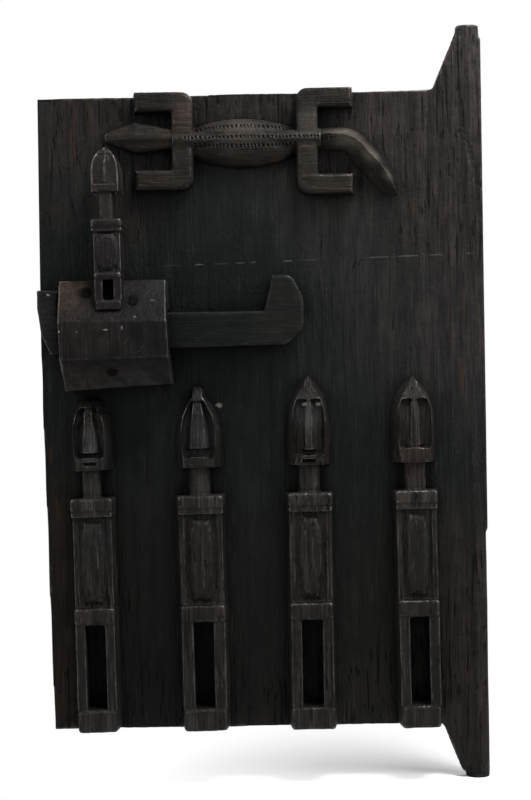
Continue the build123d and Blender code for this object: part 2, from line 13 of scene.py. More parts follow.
import bmesh
import bpy
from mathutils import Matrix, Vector


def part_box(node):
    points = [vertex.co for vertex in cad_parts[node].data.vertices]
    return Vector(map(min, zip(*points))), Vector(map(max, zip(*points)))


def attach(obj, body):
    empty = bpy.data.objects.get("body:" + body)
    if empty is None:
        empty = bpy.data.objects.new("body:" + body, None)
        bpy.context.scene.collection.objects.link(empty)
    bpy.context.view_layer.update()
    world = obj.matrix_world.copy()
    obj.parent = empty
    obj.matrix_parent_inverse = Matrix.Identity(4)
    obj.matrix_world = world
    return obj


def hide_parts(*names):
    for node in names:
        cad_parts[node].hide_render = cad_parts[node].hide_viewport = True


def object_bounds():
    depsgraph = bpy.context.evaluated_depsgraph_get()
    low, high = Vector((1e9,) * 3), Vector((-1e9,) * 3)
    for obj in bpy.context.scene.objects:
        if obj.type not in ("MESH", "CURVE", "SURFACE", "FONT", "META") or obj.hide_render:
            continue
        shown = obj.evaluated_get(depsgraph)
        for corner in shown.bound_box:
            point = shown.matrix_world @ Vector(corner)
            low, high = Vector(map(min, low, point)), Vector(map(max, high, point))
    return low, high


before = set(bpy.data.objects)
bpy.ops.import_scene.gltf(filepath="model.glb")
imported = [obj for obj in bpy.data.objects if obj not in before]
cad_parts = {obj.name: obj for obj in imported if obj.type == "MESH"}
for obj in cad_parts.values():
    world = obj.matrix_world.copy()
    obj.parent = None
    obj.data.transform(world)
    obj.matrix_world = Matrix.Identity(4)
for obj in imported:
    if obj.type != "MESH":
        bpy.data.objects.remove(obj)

MM = 0.001
cad_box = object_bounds()
print("measured model", [round(value, 4) for corner in cad_box for value in corner])

# %% [markdown]
# The camera stands squarely in front of the door, 1.55 m from the face of the plank and level with
# the door's middle. It leans a little to the right, so the door seems to lean to the left. A
# portrait frame is fitted by its height: at that distance the sensor takes in 0.8 m of the door.

# %% Camera
PICTURE_HEIGHT = 0.8
CAMERA_DISTANCE = 1.55
CAMERA_X = -0.2082
CAMERA_Z = 0.3807
CAMERA_ROLL = math.radians(0.88)
SENSOR = 36  # millimetres
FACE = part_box("door_plank")[0].y

bpy.ops.object.camera_add(
    location=(CAMERA_X, FACE - CAMERA_DISTANCE, CAMERA_Z),
    rotation=(math.pi / 2, CAMERA_ROLL, 0),
)
camera = bpy.context.object
camera.name = "camera"
camera.data.sensor_fit = "VERTICAL"
camera.data.sensor_height = SENSOR
camera.data.lens = SENSOR * CAMERA_DISTANCE / PICTURE_HEIGHT
bpy.context.scene.camera = camera
bpy.context.scene.view_settings.view_transform = "Standard"
print("lens", round(camera.data.lens, 2))

# %% [markdown]
# The light rakes: the main lamp hangs high over the door, one stands at each side, and all shine
# across its face. Every edge that turns to a lamp lights up, the hollows stay black and the grain
# stands out, which is how a relief shows best. A fourth lamp lights the upper edges from behind.

# %% Lamps
DOOR_MIDDLE = Vector((-0.2, 0, 0.4))


def add_soft_lamp(name, place, size, watts):
    """A square lamp that faces the middle of the door."""
    turn = (DOOR_MIDDLE - Vector(place)).to_track_quat("-Z", "Y").to_euler()
    bpy.ops.object.light_add(type="AREA", location=place, rotation=turn)
    lamp = bpy.context.object
    lamp.name = name
    lamp.data.size = size
    lamp.data.energy = watts


add_soft_lamp("left_lamp", (-2.0, -1.15, 1.25), 0.9, 23)
add_soft_lamp("right_lamp", (1.4, -0.85, 1.2), 0.9, 24)
add_soft_lamp("high_lamp", (0.2, -0.6, 1.7), 0.6, 36)
add_soft_lamp("back_lamp", (0.8, 2.4, 1.8), 1.6, 60)

# %% [markdown]
# The room is white where the camera or a reflection sees it, which Light Path tells apart. These
# helpers add shader nodes and fill their inputs, either with values or with links.

# %% Room
def fill(tree, made, inputs):
    """Fill a node's inputs, by name or number."""
    for key, value in inputs.items():
        if isinstance(value, bpy.types.NodeSocket):
            tree.links.new(value, made.inputs[key])
        else:
            made.inputs[key].default_value = value


def node(tree, kind, inputs=None, **options):
    """Add a shader node, set its options and fill its inputs."""
    made = tree.nodes.new(kind)
    for key, value in options.items():
        setattr(made, key, value)
    fill(tree, made, inputs or {})
    return made


def calculate(tree, operation, *values):
    """A Math node on numbers or outputs."""
    return node(tree, "ShaderNodeMath", dict(enumerate(values)), operation=operation).outputs[0]


def measure(tree, operation, *values):
    """The outputs of a Vector Math node."""
    return node(tree, "ShaderNodeVectorMath", dict(enumerate(values)), operation=operation).outputs


def seen_directly(tree):
    """One where the camera, a reflection or a view through glass sees the surface."""
    path = node(tree, "ShaderNodeLightPath").outputs
    seen = calculate(tree, "MAXIMUM", path["Is Camera Ray"], path["Is Glossy Ray"])
    return calculate(tree, "MAXIMUM", seen, path["Is Transmission Ray"])


def fresh_tree(owner):
    """The emptied node tree of a world or a material."""
    owner.use_nodes = True
    owner.node_tree.nodes.clear()
    return owner.node_tree


WHITE = (1, 1, 1, 1)
ROOM_LIGHT = 0.08
room = bpy.data.worlds.new("room")
bpy.context.scene.world = room
tree = fresh_tree(room)
dim = node(tree, "ShaderNodeBackground", {"Color": WHITE, "Strength": ROOM_LIGHT}).outputs[0]
bright = node(tree, "ShaderNodeBackground", {"Color": WHITE, "Strength": 1.0}).outputs[0]
mix = node(tree, "ShaderNodeMixShader", {0: seen_directly(tree), 1: dim, 2: bright}).outputs[0]
node(tree, "ShaderNodeOutputWorld", {"Surface": mix})
print("room light", ROOM_LIGHT)

# %% [markdown]
# The floor is a plain pale sheet just under the lower pintle. Close to the door it is matt and
# takes its shadow, and further out it fades to the white of the room, so that no horizon shows.

# %% Floor
FLOOR_SIZE = 8.0
FLOOR_GAP = 0.5 * MM
FLOOR_TONE = (0.9, 0.9, 0.9, 1)
FADE_START = 0.04
FADE_END = 0.32

bpy.ops.mesh.primitive_plane_add(size=FLOOR_SIZE, location=(0, 0, cad_box[0].z - FLOOR_GAP))
floor = bpy.context.object
floor.name = "floor"
floor_look = bpy.data.materials.new("pale floor")
tree = fresh_tree(floor_look)
place = node(tree, "ShaderNodeTexCoord").outputs["Object"]
fade = node(
    tree, "ShaderNodeMapRange",
    {"Value": measure(tree, "LENGTH", place)["Value"], "From Min": FADE_START,
     "From Max": FADE_END}, clamp=True,
).outputs[0]
visible = calculate(tree, "MULTIPLY", fade, seen_directly(tree))
matt = node(tree, "ShaderNodeBsdfDiffuse", {"Color": FLOOR_TONE}).outputs[0]
white = node(tree, "ShaderNodeEmission", {"Color": WHITE, "Strength": 1.0}).outputs[0]
mix = node(tree, "ShaderNodeMixShader", {0: visible, 1: matt, 2: white}).outputs[0]
node(tree, "ShaderNodeOutputMaterial", {"Surface": mix})
floor.data.materials.append(floor_look)
print("floor at", round(floor.location.z, 4))

# %% [markdown]
# ## Old wood
#
# Grain, wear, painted shade and marks show on every piece, so each is a node group that is built
# once. The grain group takes a place that is squeezed along the fibres, which turns round noise
# into streaks. The edge and hollow group reads Pointiness, which is above a half on ridges and
# below it in hollows, and breaks it up with noise, because real edges never wear evenly. Its edge
# mask marks pale worn wood, which is partly real wear and partly a painted highlight, and its
# hollow mask is painted shade. The occlusion group finds how closed in a place is and paints shade
# there.
# The mark group makes one ragged spot on the front.

# %% Node groups for grain, wear, painted shade and marks
ORIGIN = (0, 0, 0)


def new_group(name, inputs):
    """An empty shader node group and its inputs, which are numbers or vectors."""
    group = bpy.data.node_groups.new(name, "ShaderNodeTree")
    for label, value in inputs.items():
        kind = "NodeSocketVector" if isinstance(value, tuple) else "NodeSocketFloat"
        group.interface.new_socket(label, in_out="INPUT", socket_type=kind).default_value = value
    return group, node(group, "NodeGroupInput").outputs


def close_group(group, outputs):
    """Give a group its named outputs."""
    for label in outputs:
        group.interface.new_socket(label, in_out="OUTPUT", socket_type="NodeSocketFloat")
    node(group, "NodeGroupOutput", outputs)


def step(tree, value, start, end, low=0.0, high=1.0):
    """A smooth step from one value to another."""
    inputs = {"Value": value, "From Min": start, "From Max": end, "To Min": low, "To Max": high}
    return node(tree, "ShaderNodeMapRange", inputs, interpolation_type="SMOOTHSTEP").outputs[0]


def noise(tree, where, scale, detail=3.0, roughness=0.55):
    """Noise at a place, with so many features to the metre."""
    inputs = {"Vector": where, "Scale": scale, "Detail": detail, "Roughness": roughness}
    return node(tree, "ShaderNodeTexNoise", inputs).outputs["Fac"]


def scaled(tree, value, factor):
    """A mask made weaker."""
    return calculate(tree, "MULTIPLY", value, factor)


group, given = new_group("wood grain", {"Place": ORIGIN})
grain_group = group
place = given["Place"]
short_place = node(group, "ShaderNodeMapping", {"Vector": place, "Scale": (1, 1, 4)}).outputs[0]
close_group(group, {
    "Fibres": noise(group, place, 620, 4),
    "Bands": noise(group, place, 95, 3),
    "Cracks": step(group, noise(group, place, 330, 2, 0.4), 0.60, 0.70),
    "Scratches": step(group, noise(group, place, 470, 3, 0.6), 0.60, 0.72),
    "Gouges": step(group, noise(group, short_place, 260, 2, 0.5), 0.61, 0.68),
})

# Edges is pale worn wood on the ridges, partly real wear and partly a painted highlight. Hollow
# Shade is painted shade in creases and hollows.
group, given = new_group("worn edges, sheen and hollow shade", {"Place": ORIGIN, "Edge Start": 0.508, "Edge Full": 0.545})
edge_sheen_hollow_shade_group = group
pointiness = node(group, "ShaderNodeNewGeometry").outputs["Pointiness"]
patchy = calculate(group, "SUBTRACT", noise(group, given["Place"], 130, 4, 0.7), 0.5)
broken = calculate(group, "MULTIPLY_ADD", patchy, 0.05, pointiness)
close_group(group, {
    "Edges": step(group, broken, given["Edge Start"], given["Edge Full"]),
    "Hollow Shade": step(group, pointiness, 0.490, 0.455),
})

# The occlusion group is painted shade: it darkens hollows, slots and the wood beside the figures,
# by how closed in a place is.
group, given = new_group("occlusion_shade", {"Distance": 0.018})
occlusion_shade_group = group
open_share = node(
    group, "ShaderNodeAmbientOcclusion", {"Distance": given["Distance"]}, samples=8
).outputs["AO"]
close_group(group, {"Occlusion Shade": step(group, open_share, 0.92, 0.25)})

group, given = new_group("small mark", {
    "Place": ORIGIN, "Middle": ORIGIN, "Turn": ORIGIN, "Reach": (0.003, 0.01, 0.003),
    "Strength": 1.0,
})
mark_group = group
place = given["Place"]
offset = measure(group, "SUBTRACT", place, given["Middle"])[0]
turned = node(
    group, "ShaderNodeVectorRotate", {"Vector": offset, "Rotation": given["Turn"]},
    rotation_type="EULER_XYZ",
).outputs[0]
shares = measure(group, "DIVIDE", turned, given["Reach"])[0]
length = measure(group, "LENGTH", shares)["Value"]
uneven = calculate(group, "MULTIPLY_ADD", noise(group, place, 420, 3, 0.7), 2.0, length)
depth = node(group, "ShaderNodeSeparateXYZ", {"Vector": place}).outputs["Y"]
in_front = scaled(group, step(group, uneven, 2.0, 1.6), step(group, depth, -0.005, 0.005, 1, 0))
close_group(group, {"Mark": scaled(group, in_front, given["Strength"])})
print("node groups", [group.name for group in bpy.data.node_groups])

# %% [markdown]
# One function mixes the finish of all the aged pieces, as a stack of layers over two tones of the
# patina: the cool black of the handled parts and the warm brown at the margins. Reddish veins come
# first. Around some places the wood has another tone. It is reddish where the patina has gone, and
# some tones are painted light: highlights on noses and bars, light on the lizard's back and a
# shadow under the lock. Then come the dark fibres, the pale edges, which are partly worn and partly
# a painted highlight, the black of cracks, painted shade in hollows and closed-in places, and the
# small marks. Hands also polish what they wear, so the edges get a thin clear coat. Each wood has
# its own values, and its grain runs along the piece: upright in the plank and the figures, level in
# the crossbolt and the lizard.

# %% Aged wood
GRAIN_SQUEEZE = 0.05  # along the fibres, so that they are twenty times as long as wide
FIBRE_ROUGHNESS = (0.3, 0.5)  # of the dark and of the pale fibres
COAT_ROUGHNESS = 0.22
TONE_RISE = 0.02  # how far in front of the plank a tone has its middle
MARK_DEPTH = 0.2  # a mark reaches back from the front through the whole relief


def rgb(colour):
    """A colour for a node, from thousandths of full light."""
    return tuple(value / 1000 for value in colour) + (1,)


def blend(tree, factor, first, second):
    """Mix two colours."""
    inputs = {0: factor, 6: first, 7: second}
    return node(tree, "ShaderNodeMix", inputs, data_type="RGBA").outputs[2]


def use_group(tree, group, inputs=None):
    """The outputs of a node group placed in a material."""
    return node(tree, "ShaderNodeGroup", inputs, node_tree=group).outputs


def aged_wood(name, cool, warm, worn, along="Z", middle=None, reach=None, edge=0.5,
              scratches=0.25, streaks=0.5, cracks=0.75, gloss=0.04, polish=0.3, relief=0.7,
              occlusion_shade=0.85, mottle=0.35, tones=(), marks=()):
    """A dark, hand-worn wood. Colours are linear, in thousandths.

    A tone is x, z, where it starts to fade, where it ends, its colour and its strength. A mark is
    x, z, half its width, half its height, its turn in degrees, its strength and its colour. Both
    are in millimetres and lie on the front.
    """
    look = bpy.data.materials.new(name)
    look.use_nodes = True
    tree = look.node_tree
    place = node(tree, "ShaderNodeTexCoord").outputs["Object"]
    thin = (GRAIN_SQUEEZE, 1, 1) if along == "X" else (1, 1, GRAIN_SQUEEZE)
    fibre_place = node(tree, "ShaderNodeMapping", {"Vector": place, "Scale": thin}).outputs[0]
    grain = use_group(tree, grain_group, {"Place": fibre_place})
    ridges_and_hollows = use_group(tree, edge_sheen_hollow_shade_group, {"Place": place})

    cloud = noise(tree, place, 60, 4, 0.6)
    patches = noise(tree, place, 11, 4, 0.6)
    if middle:
        spread = measure(tree, "DISTANCE", place, middle)["Value"]
        patches = calculate(tree, "ADD", patches, step(tree, spread, *reach, -0.25, 0.25))
    warmth = step(tree, patches, 0.40, 0.62)
    veins = step(tree, noise(tree, fibre_place, 150, 4, 0.6), 0.58, 0.66, 0, 0.6)
    layers = [(scaled(tree, veins, warmth), (warm[0] * 1.8, warm[1] * 1.2, warm[2] * 0.9))]
    for x, z, near, far, tint, strength in tones:
        near, far = near * MM, far * MM
        spot = (x * MM, FACE - TONE_RISE, z * MM)
        spread = measure(tree, "DISTANCE", place, spot)["Value"]
        uneven = calculate(tree, "MULTIPLY_ADD", cloud, far / 2, spread)
        layers.append((step(tree, uneven, far * 1.25, near + far / 4, 0, strength), tint))
    dark = tuple(value * 0.4 for value in cool)
    split, gouged = [
        scaled(tree, grain[label], step(tree, warmth, 0, 1, cracks * cool_share, cracks))
        for label, cool_share in (("Cracks", 0.3), ("Gouges", 0.15))
    ]
    split = calculate(tree, "MAXIMUM", split, gouged)
    layers += [
        (step(tree, cloud, 0.36, 0.56, mottle, 0), dark),
        (step(tree, grain["Fibres"], 0.35, 0.65, streaks, 0), dark),
        (step(tree, grain["Bands"], 0.35, 0.65, streaks, 0), dark),
        (scaled(tree, grain["Scratches"], scratches), worn),
        # pale edges: partly real wear, partly a painted highlight
        (scaled(tree, ridges_and_hollows["Edges"], edge), worn),
        (split, BLACK),
        # painted shade in hollows
        (scaled(tree, ridges_and_hollows["Hollow Shade"], 0.5), BLACK),
        # painted shade in closed-in places
        (scaled(tree, use_group(tree, occlusion_shade_group)["Occlusion Shade"], occlusion_shade), BLACK),
    ]
    for x, z, half_wide, half_tall, turn, strength, tint in marks:
        inputs = {
            "Place": place, "Middle": (x * MM, FACE, z * MM),
            "Turn": (0, math.radians(turn), 0), "Strength": strength,
            "Reach": (half_wide * MM, MARK_DEPTH, half_tall * MM),
        }
        layers.append((use_group(tree, mark_group, inputs)["Mark"], tint))
    colour = blend(tree, warmth, rgb(cool), rgb(warm))
    for mask, tint in layers:
        colour = blend(tree, mask, colour, rgb(tint))

    lumps = scaled(tree, noise(tree, place, 240, 4, 0.6), 0.9)
    height = calculate(tree, "MULTIPLY_ADD", grain["Fibres"], 0.8, lumps)
    height = calculate(tree, "SUBTRACT", height, split)
    bump = node(tree, "ShaderNodeBump", {"Height": height, "Strength": relief, "Distance": MM})
    fill(tree, tree.nodes["Principled BSDF"], {
        "Base Color": colour,
        "Roughness": step(tree, grain["Fibres"], 0.35, 0.65, *FIBRE_ROUGHNESS),
        "Specular IOR Level": gloss, "Coat Roughness": COAT_ROUGHNESS,
        "Coat Weight": scaled(tree, ridges_and_hollows["Edges"], polish), "Normal": bump.outputs[0],
    })
    return look


print("finish ready")

# %% [markdown]
# The plank has a scored line across its middle, which shows as a row of pale dashes, and gouges
# and rusty streaks near its edges. It is palest at the top of the post and nearly black beside the
# lock, and a painted shadow darkens it under the lock case. The figures have painted highlights on
# their noses and a painted sheen on their bars, and the lizard has painted light on its back and
# painted highlights on its tail and front legs.

# %% Woods of the plank, the figures and the lizard
BLACK = (1.2, 1.2, 1.2)
# pale wood where chips and scratches show. The lock and the bolt also use it for painted glints and
# a painted edge highlight
CHIP_AND_GLINT = (300, 270, 250)
RUST = (36, 18, 11)
SCORE_X, SCORE_Z = -184, 519.6  # a point of the scored line, in millimetres
SCORE_SLOPE = 0.026
SCORE_TURN = 1.4  # degrees
SCORE = [  # its dashes: x, half the length and strength
    (-300, 14, 0.04), (-273, 6, 0.20), (-250, 8, 0.05), (-232, 6, 0.08), (-218, 4, 0.12),
    (-184, 5, 0.16), (-160, 14, 0.05), (-92, 16, 0.08), (-62, 12, 0.11), (-36, 8, 0.08),
    (-2, 4, 0.08),
]
GOUGES = [  # x, z, half the width, half the height and turn
    (-117, 515, 1.2, 8, -22), (-112, 516, 0.9, 6, -22), (-150, 536, 1.0, 9, -8),
    (-79, 457, 1.2, 12, -4), (-62, 430, 0.9, 6, 12), (-356, 530, 1.0, 8, 4),
    (-385, 545, 1.4, 7, 12), (-398, 578, 1.1, 14, 14), (-372, 600, 1.1, 12, -6),
    (-410, 610, 1.0, 16, 10), (-392, 625, 1.1, 12, 16),
]
STAINS = [  # the same for rusty streaks
    (-57, 571, 2.2, 12, 0), (-8, 474, 1.8, 18, 0), (-12, 402, 2.6, 22, 2), (-20, 442, 2, 18, -3),
    (-26, 560, 1.6, 14, 0), (-424, 330, 2.5, 12, 0), (-418, 275, 2.5, 16, 4),
]
SCORED_LINE = [
    (x, SCORE_Z + SCORE_SLOPE * (x - SCORE_X), half_wide, 0.8, SCORE_TURN, strength, CHIP_AND_GLINT)
    for x, half_wide, strength in SCORE
]

door_look = aged_wood(
    "door wood", cool=(8.8, 10.8, 10.1), warm=(17.2, 13.8, 13.1), worn=(42, 36, 34),
    middle=(-0.21, FACE, 0.36), reach=(0.14, 0.38), streaks=0.55, relief=1.0, occlusion_shade=0.95,
    tones=[
        (0, 690, 20, 420, (40, 34, 32), 0.35), (0, 730, 15, 60, (46, 37, 38), 0.6),
        (-250, 578, 20, 80, (5.8, 7.6, 7.2), 0.6), (-340, 120, 60, 260, (6.6, 5.2, 4.8), 0.85),
        (-100, 170, 30, 190, (9, 9, 6.6), 0.7), (-240, 490, 20, 110, (3.6, 5.2, 5.4), 0.85),
        # the near-black tone at x -350, z 360 is a painted shadow under the lock case
        (-350, 360, 10, 60, (2.8, 3, 3), 0.7), (-425, 240, 25, 95, (20, 11, 7.8), 0.75),
        (-425, 100, 20, 80, (20, 11, 7.4), 0.75), (0, 450, 20, 150, (30, 24, 24), 0.6),
        (-5, 200, 20, 130, (23, 16.5, 14.5), 0.6), (-5, 60, 20, 90, (24, 17, 15), 0.6),
    ],
    marks=[(-254, 376, 4, 2.5, 0, 0.35, CHIP_AND_GLINT)] + SCORED_LINE + [
        gouge + (0.8, BLACK) for gouge in GOUGES
    ] + [stain + (0.35, RUST) for stain in STAINS],
)
# a painted sheen for the foot and shoulder bars
BAR_SHEEN = (34, 30, 27)
carving_look = aged_wood(
    "carving wood", cool=(11.8, 11.6, 11), warm=(19.5, 15.8, 13.8), worn=(46, 42, 39),
    scratches=0.55, streaks=0.7, gloss=0.05, polish=0.9, edge=0.4, relief=1.1,
    tones=[
        # The pale tones on the four noses are painted highlights, and those on the foot and
        # shoulder bars are a painted sheen. The reddish tones are the wood's own colour.
        (-381, 338, 4, 28, (62, 62, 65), 0.65), (-275, 348, 5, 28, (45, 46, 48), 0.6),
        (-166, 366, 4, 26, (60, 62, 62), 0.75), (-62, 376, 8, 32, (60, 50, 42), 0.55),
        (-61, 300, 8, 48, (34, 20, 14), 0.6), (-62, 335, 5, 26, (42, 27, 20), 0.6),
        (-378, 145, 5, 18, (40, 22, 13), 0.4),
    ] + [(x, z, 10, 28, BAR_SHEEN, 0.75) for x in (-378, -272, -166, -60) for z in (62, 286)],
    marks=[(-170.5, 376, 2.4, 2.0, 0, 0.6, CHIP_AND_GLINT), (-156.5, 376, 3.0, 2.0, 0, 0.6, CHIP_AND_GLINT)],
)
# painted light on the lizard's back
LIZARD_TOP_LIGHT = (52, 45, 40)
# a painted highlight along the tail's ridge
TAIL_HIGHLIGHT = (100, 88, 76)
lizard_look = aged_wood(
    "lizard wood", cool=(9, 9, 8.4), warm=(20, 15.8, 12.5), worn=(60, 52, 47), along="X",
    scratches=0.35, streaks=0.4, cracks=0.5, polish=0.6, edge=0.65, relief=0.9,
    # These tones are painted light: the back is paler where light from above falls on it, and
    # painted highlights run along the front legs and the tail's ridge.
    tones=[
        (-228, 657, 8, 34, LIZARD_TOP_LIGHT, 0.6), (-275, 672, 8, 34, (52, 38, 34), 0.75),
        (-160, 655, 6, 30, LIZARD_TOP_LIGHT, 0.5), (-124, 644, 6, 30, TAIL_HIGHLIGHT, 0.8),
        (-98, 626, 4, 20, (110, 96, 82), 0.8), (-80, 600, 3, 16, TAIL_HIGHLIGHT, 0.8),
    ],
)
print("materials", len(bpy.data.materials))

# %% [markdown]
# The lock is blacker and smoother. Its case is bare and brown at the left end, has pale wear along
# its lowest facet, and shows the pegs' ends in dark rings. The tumblers inside were never handled,
# so their wood is pale and dry.

# %% Woods of the lock
PEG = (2.2, 1.3, 0.9)
lock_look = aged_wood(
    "lock wood", cool=(7, 6.9, 6.9), warm=(15, 11.8, 10.4), worn=(46, 42, 39),
    scratches=0.3, streaks=0.4, cracks=0.4, edge=0.4, relief=0.4, mottle=0.6,
    tones=[
        (-405, 490, 10, 60, (52, 34, 26), 0.85), (-400, 440, 5, 45, (20, 14.5, 12), 0.6),
        (-322, 440, 12, 45, (4.2, 3.8, 4), 0.75), (-330, 398, 10, 55, (29, 28, 27), 0.8),
        (-390, 396, 10, 45, (23, 19, 17), 0.7), (-345, 485, 5, 30, (30, 17, 12), 0.5),
        (-312, 492, 5, 35, (24, 24, 24.5), 0.7),
    ],
    marks=[
        # the small white spots on the case's middle facet are painted glints
        (-406, 449, 1.6, 1.6, 0, 0.5, CHIP_AND_GLINT), (-361, 450.5, 3.5, 1.0, 0, 0.3, CHIP_AND_GLINT),
        (-388.5, 449, 1.2, 1.0, 0, 0.2, CHIP_AND_GLINT), (-345, 452, 1.2, 2.5, 0, 0.2, CHIP_AND_GLINT),
        (-333, 463, 2.4, 0.9, -25, 0.2, CHIP_AND_GLINT), (-316, 479, 4, 0.9, 0, 0.12, CHIP_AND_GLINT),
        (-402, 500, 19, 1.2, 12, 0.8, (80, 60, 42)),
        (-341, 440, 0.6, 7, -40, 0.04, CHIP_AND_GLINT), (-326, 433, 0.6, 9, -46, 0.03, CHIP_AND_GLINT),
        (-388, 490, 6, 2.2, 30, 0.5, BLACK), (-356, 411, 9, 5, 0, 0.7, PEG),
        (-384, 487, 8, 6, 0, 0.7, PEG), (-335, 479, 7, 8, 0, 0.7, PEG),
        # these two long pale marks along the case's left edge are a painted edge highlight
        (-407.5, 458, 1.8, 46, 0, 0.12, CHIP_AND_GLINT), (-405, 408, 1.5, 17, -8, 0.12, CHIP_AND_GLINT),
    ],
)
lock_figure_look = aged_wood(
    "lock figure wood", cool=(8.5, 7.5, 7.3), warm=(16.5, 13.5, 12), worn=(52, 47, 43),
    scratches=0.4, streaks=0.4, cracks=0.3, gloss=0.06, polish=0.9,
    tones=[
        (-362, 606, 10, 34, (40, 31, 26), 0.8), (-359, 525, 4, 20, (32, 28, 30), 0.6),
        (-359, 508, 3, 14, (30, 26, 24), 0.6),
    ],
)
bolt_look = aged_wood(
    "bolt wood", cool=(5.5, 7, 6.5), warm=(8.8, 9.4, 8.2), worn=(30, 32, 30), along="X",
    scratches=0.15, streaks=0.4, cracks=0.4,
    tones=[(-424, 462, 10, 34, (20, 20, 20.5), 0.85), (-422, 486, 4, 16, (9, 8.6, 8.6), 0.8)],
    # the pale mark on the end block's top edge is a painted highlight
    marks=[(-420, 487, 2.2, 1.2, 0, 0.6, CHIP_AND_GLINT)],
)
tumbler_look = aged_wood(
    "tumbler wood", cool=(75, 48, 30), warm=(110, 70, 42), worn=(160, 110, 70), edge=0, polish=0
)
peg_look = aged_wood(
    "peg wood", cool=(3, 1.8, 1.2), warm=(5, 3, 1.9), worn=(12, 9, 7), gloss=0.02, edge=0,
    polish=0,
)
print("materials", len(bpy.data.materials))

# %% [markdown]
# ## Working as by hand
#
# Each carved piece starts as a few plain forms, roughed out with primitives and edit mode, as a
# carver saws out a block. The forms overlap, and one skin is drawn over them with a voxel remesh,
# which closes the joins and rounds the edges. A little smoothing and noise then give the uneven
# faces that an adze leaves. These helpers hold the steps that repeat.

# %% Helpers for modelling
def deselect():
    """Back to object mode with nothing selected."""
    if bpy.context.mode != "OBJECT":
        bpy.ops.object.mode_set(mode="OBJECT")
    bpy.ops.object.select_all(action="DESELECT")


def choose(piece):
    """Make a piece the only one selected."""
    deselect()
    piece.select_set(True)
    bpy.context.view_layer.objects.active = piece


def work_on(piece):
    """Enter a piece's edit mode."""
    choose(piece)
    bpy.ops.object.mode_set(mode="EDIT")


def settle(piece):
    """Put the piece's place, turn and size into its mesh."""
    choose(piece)
    bpy.ops.object.transform_apply(location=True, rotation=True, scale=True)
    return piece


def add_block(low, high):
    """A box between two corners."""
    deselect()
    low, high = Vector(low), Vector(high)
    bpy.ops.mesh.primitive_cube_add(size=1, location=(low + high) / 2)
    block = bpy.context.object
    block.scale = high - low
    return settle(block)


def add_rod(start, end, radius, vertices=32):
    """A cylinder between two points."""
    deselect()
    start, end = Vector(start), Vector(end)
    bpy.ops.mesh.primitive_cylinder_add(
        vertices=vertices, radius=radius, depth=(end - start).length, location=(start + end) / 2,
        rotation=(end - start).to_track_quat("Z", "Y").to_euler(),
    )
    return settle(bpy.context.object)


def add_ball(middle, radii):
    """An ellipsoid."""
    deselect()
    bpy.ops.mesh.primitive_uv_sphere_add(segments=48, ring_count=24, location=middle)
    ball = bpy.context.object
    ball.scale = radii
    return settle(ball)


def select_parts(kind, passes):
    """In edit mode, select the vertices, edges or faces that pass a test."""
    bpy.ops.mesh.select_mode(type=kind)
    bpy.ops.mesh.select_all(action="DESELECT")
    data = bpy.context.object.data
    mesh = bmesh.from_edit_mesh(data)
    for part in {"VERT": mesh.verts, "EDGE": mesh.edges, "FACE": mesh.faces}[kind]:
        part.select_set(bool(passes(part)))
    if kind != "EDGE":
        mesh.select_flush(True)
    bmesh.update_edit_mesh(data)


def pick(test):
    """Select the vertices whose place passes a test."""
    select_parts("VERT", lambda vert: test(vert.co))


def pick_all():
    """Select the whole mesh."""
    bpy.ops.mesh.select_all(action="SELECT")


def move(test=None, x=0.0, y=0.0, z=0.0):
    """Shift the vertices that pass a test, or else what is selected."""
    if test:
        pick(test)
    bpy.ops.transform.translate(value=(x, y, z))


def squeeze(x=1.0, y=1.0, z=1.0, about=ORIGIN):
    """Scale what is selected about a point."""
    bpy.ops.transform.resize(value=(x, y, z), center_override=about)


def bevel(test, amount, segments):
    """Round the edges whose middle and direction pass a test."""
    def passes(edge):
        start, end = [vert.co for vert in edge.verts]
        return test((start + end) / 2, (end - start).normalized())

    select_parts("EDGE", passes)
    bpy.ops.mesh.bevel(offset=amount, segments=segments)


def slice_at(place, normal, remove=False):
    """Cut a loop of edges through the whole mesh, or saw off the side that the normal points to."""
    pick_all()
    bpy.ops.mesh.bisect(
        plane_co=place, plane_no=Vector(normal).normalized(), use_fill=remove, clear_outer=remove
    )


def slice_level(*levels):
    """Cut level loops through the whole mesh."""
    for level in levels:
        slice_at((0, 0, level), (0, 0, 1))


def join(forms, name):
    """Make several forms one object."""
    deselect()
    for form in forms:
        form.select_set(True)
    bpy.context.view_layer.objects.active = forms[0]
    bpy.ops.object.join()
    piece = bpy.context.object
    piece.name = name
    piece.data.name = name
    return piece


def apply_modifier(piece, kind, **values):
    """Add a modifier, set it and apply it."""
    choose(piece)
    modifier = piece.modifiers.new(kind.title(), kind)
    for key, value in values.items():
        setattr(modifier, key, value)
    bpy.ops.object.modifier_apply(modifier=modifier.name)


def hollow(piece, low, high):
    """Cut a box out of a piece."""
    cutter = add_block(low, high)
    apply_modifier(piece, "BOOLEAN", operation="DIFFERENCE", object=cutter, solver="EXACT")
    bpy.data.objects.remove(cutter)


def one_skin(piece, voxel, rounds):
    """Draw one closed skin over overlapping forms, and soften it."""
    apply_modifier(piece, "REMESH", mode="VOXEL", voxel_size=voxel)
    apply_modifier(piece, "SMOOTH", factor=0.5, iterations=rounds)


def dent(piece, size, depth, stretch=(1, 1, 1), shift=0.0):
    """Press hollows of a size into a piece. The surface only ever goes inwards."""
    clouds = bpy.data.textures.new("clouds", "CLOUDS")
    clouds.noise_scale = size
    clouds.noise_depth = 2
    guide = bpy.data.objects.new("guide", None)
    bpy.context.collection.objects.link(guide)
    guide.scale = stretch
    guide.location = (shift, shift, shift)
    bpy.context.view_layer.update()
    apply_modifier(
        piece, "DISPLACE", texture=clouds, texture_coords="OBJECT",
        texture_coords_object=guide, strength=depth, mid_level=1.0,
    )
    bpy.data.objects.remove(guide)
    bpy.data.textures.remove(clouds)


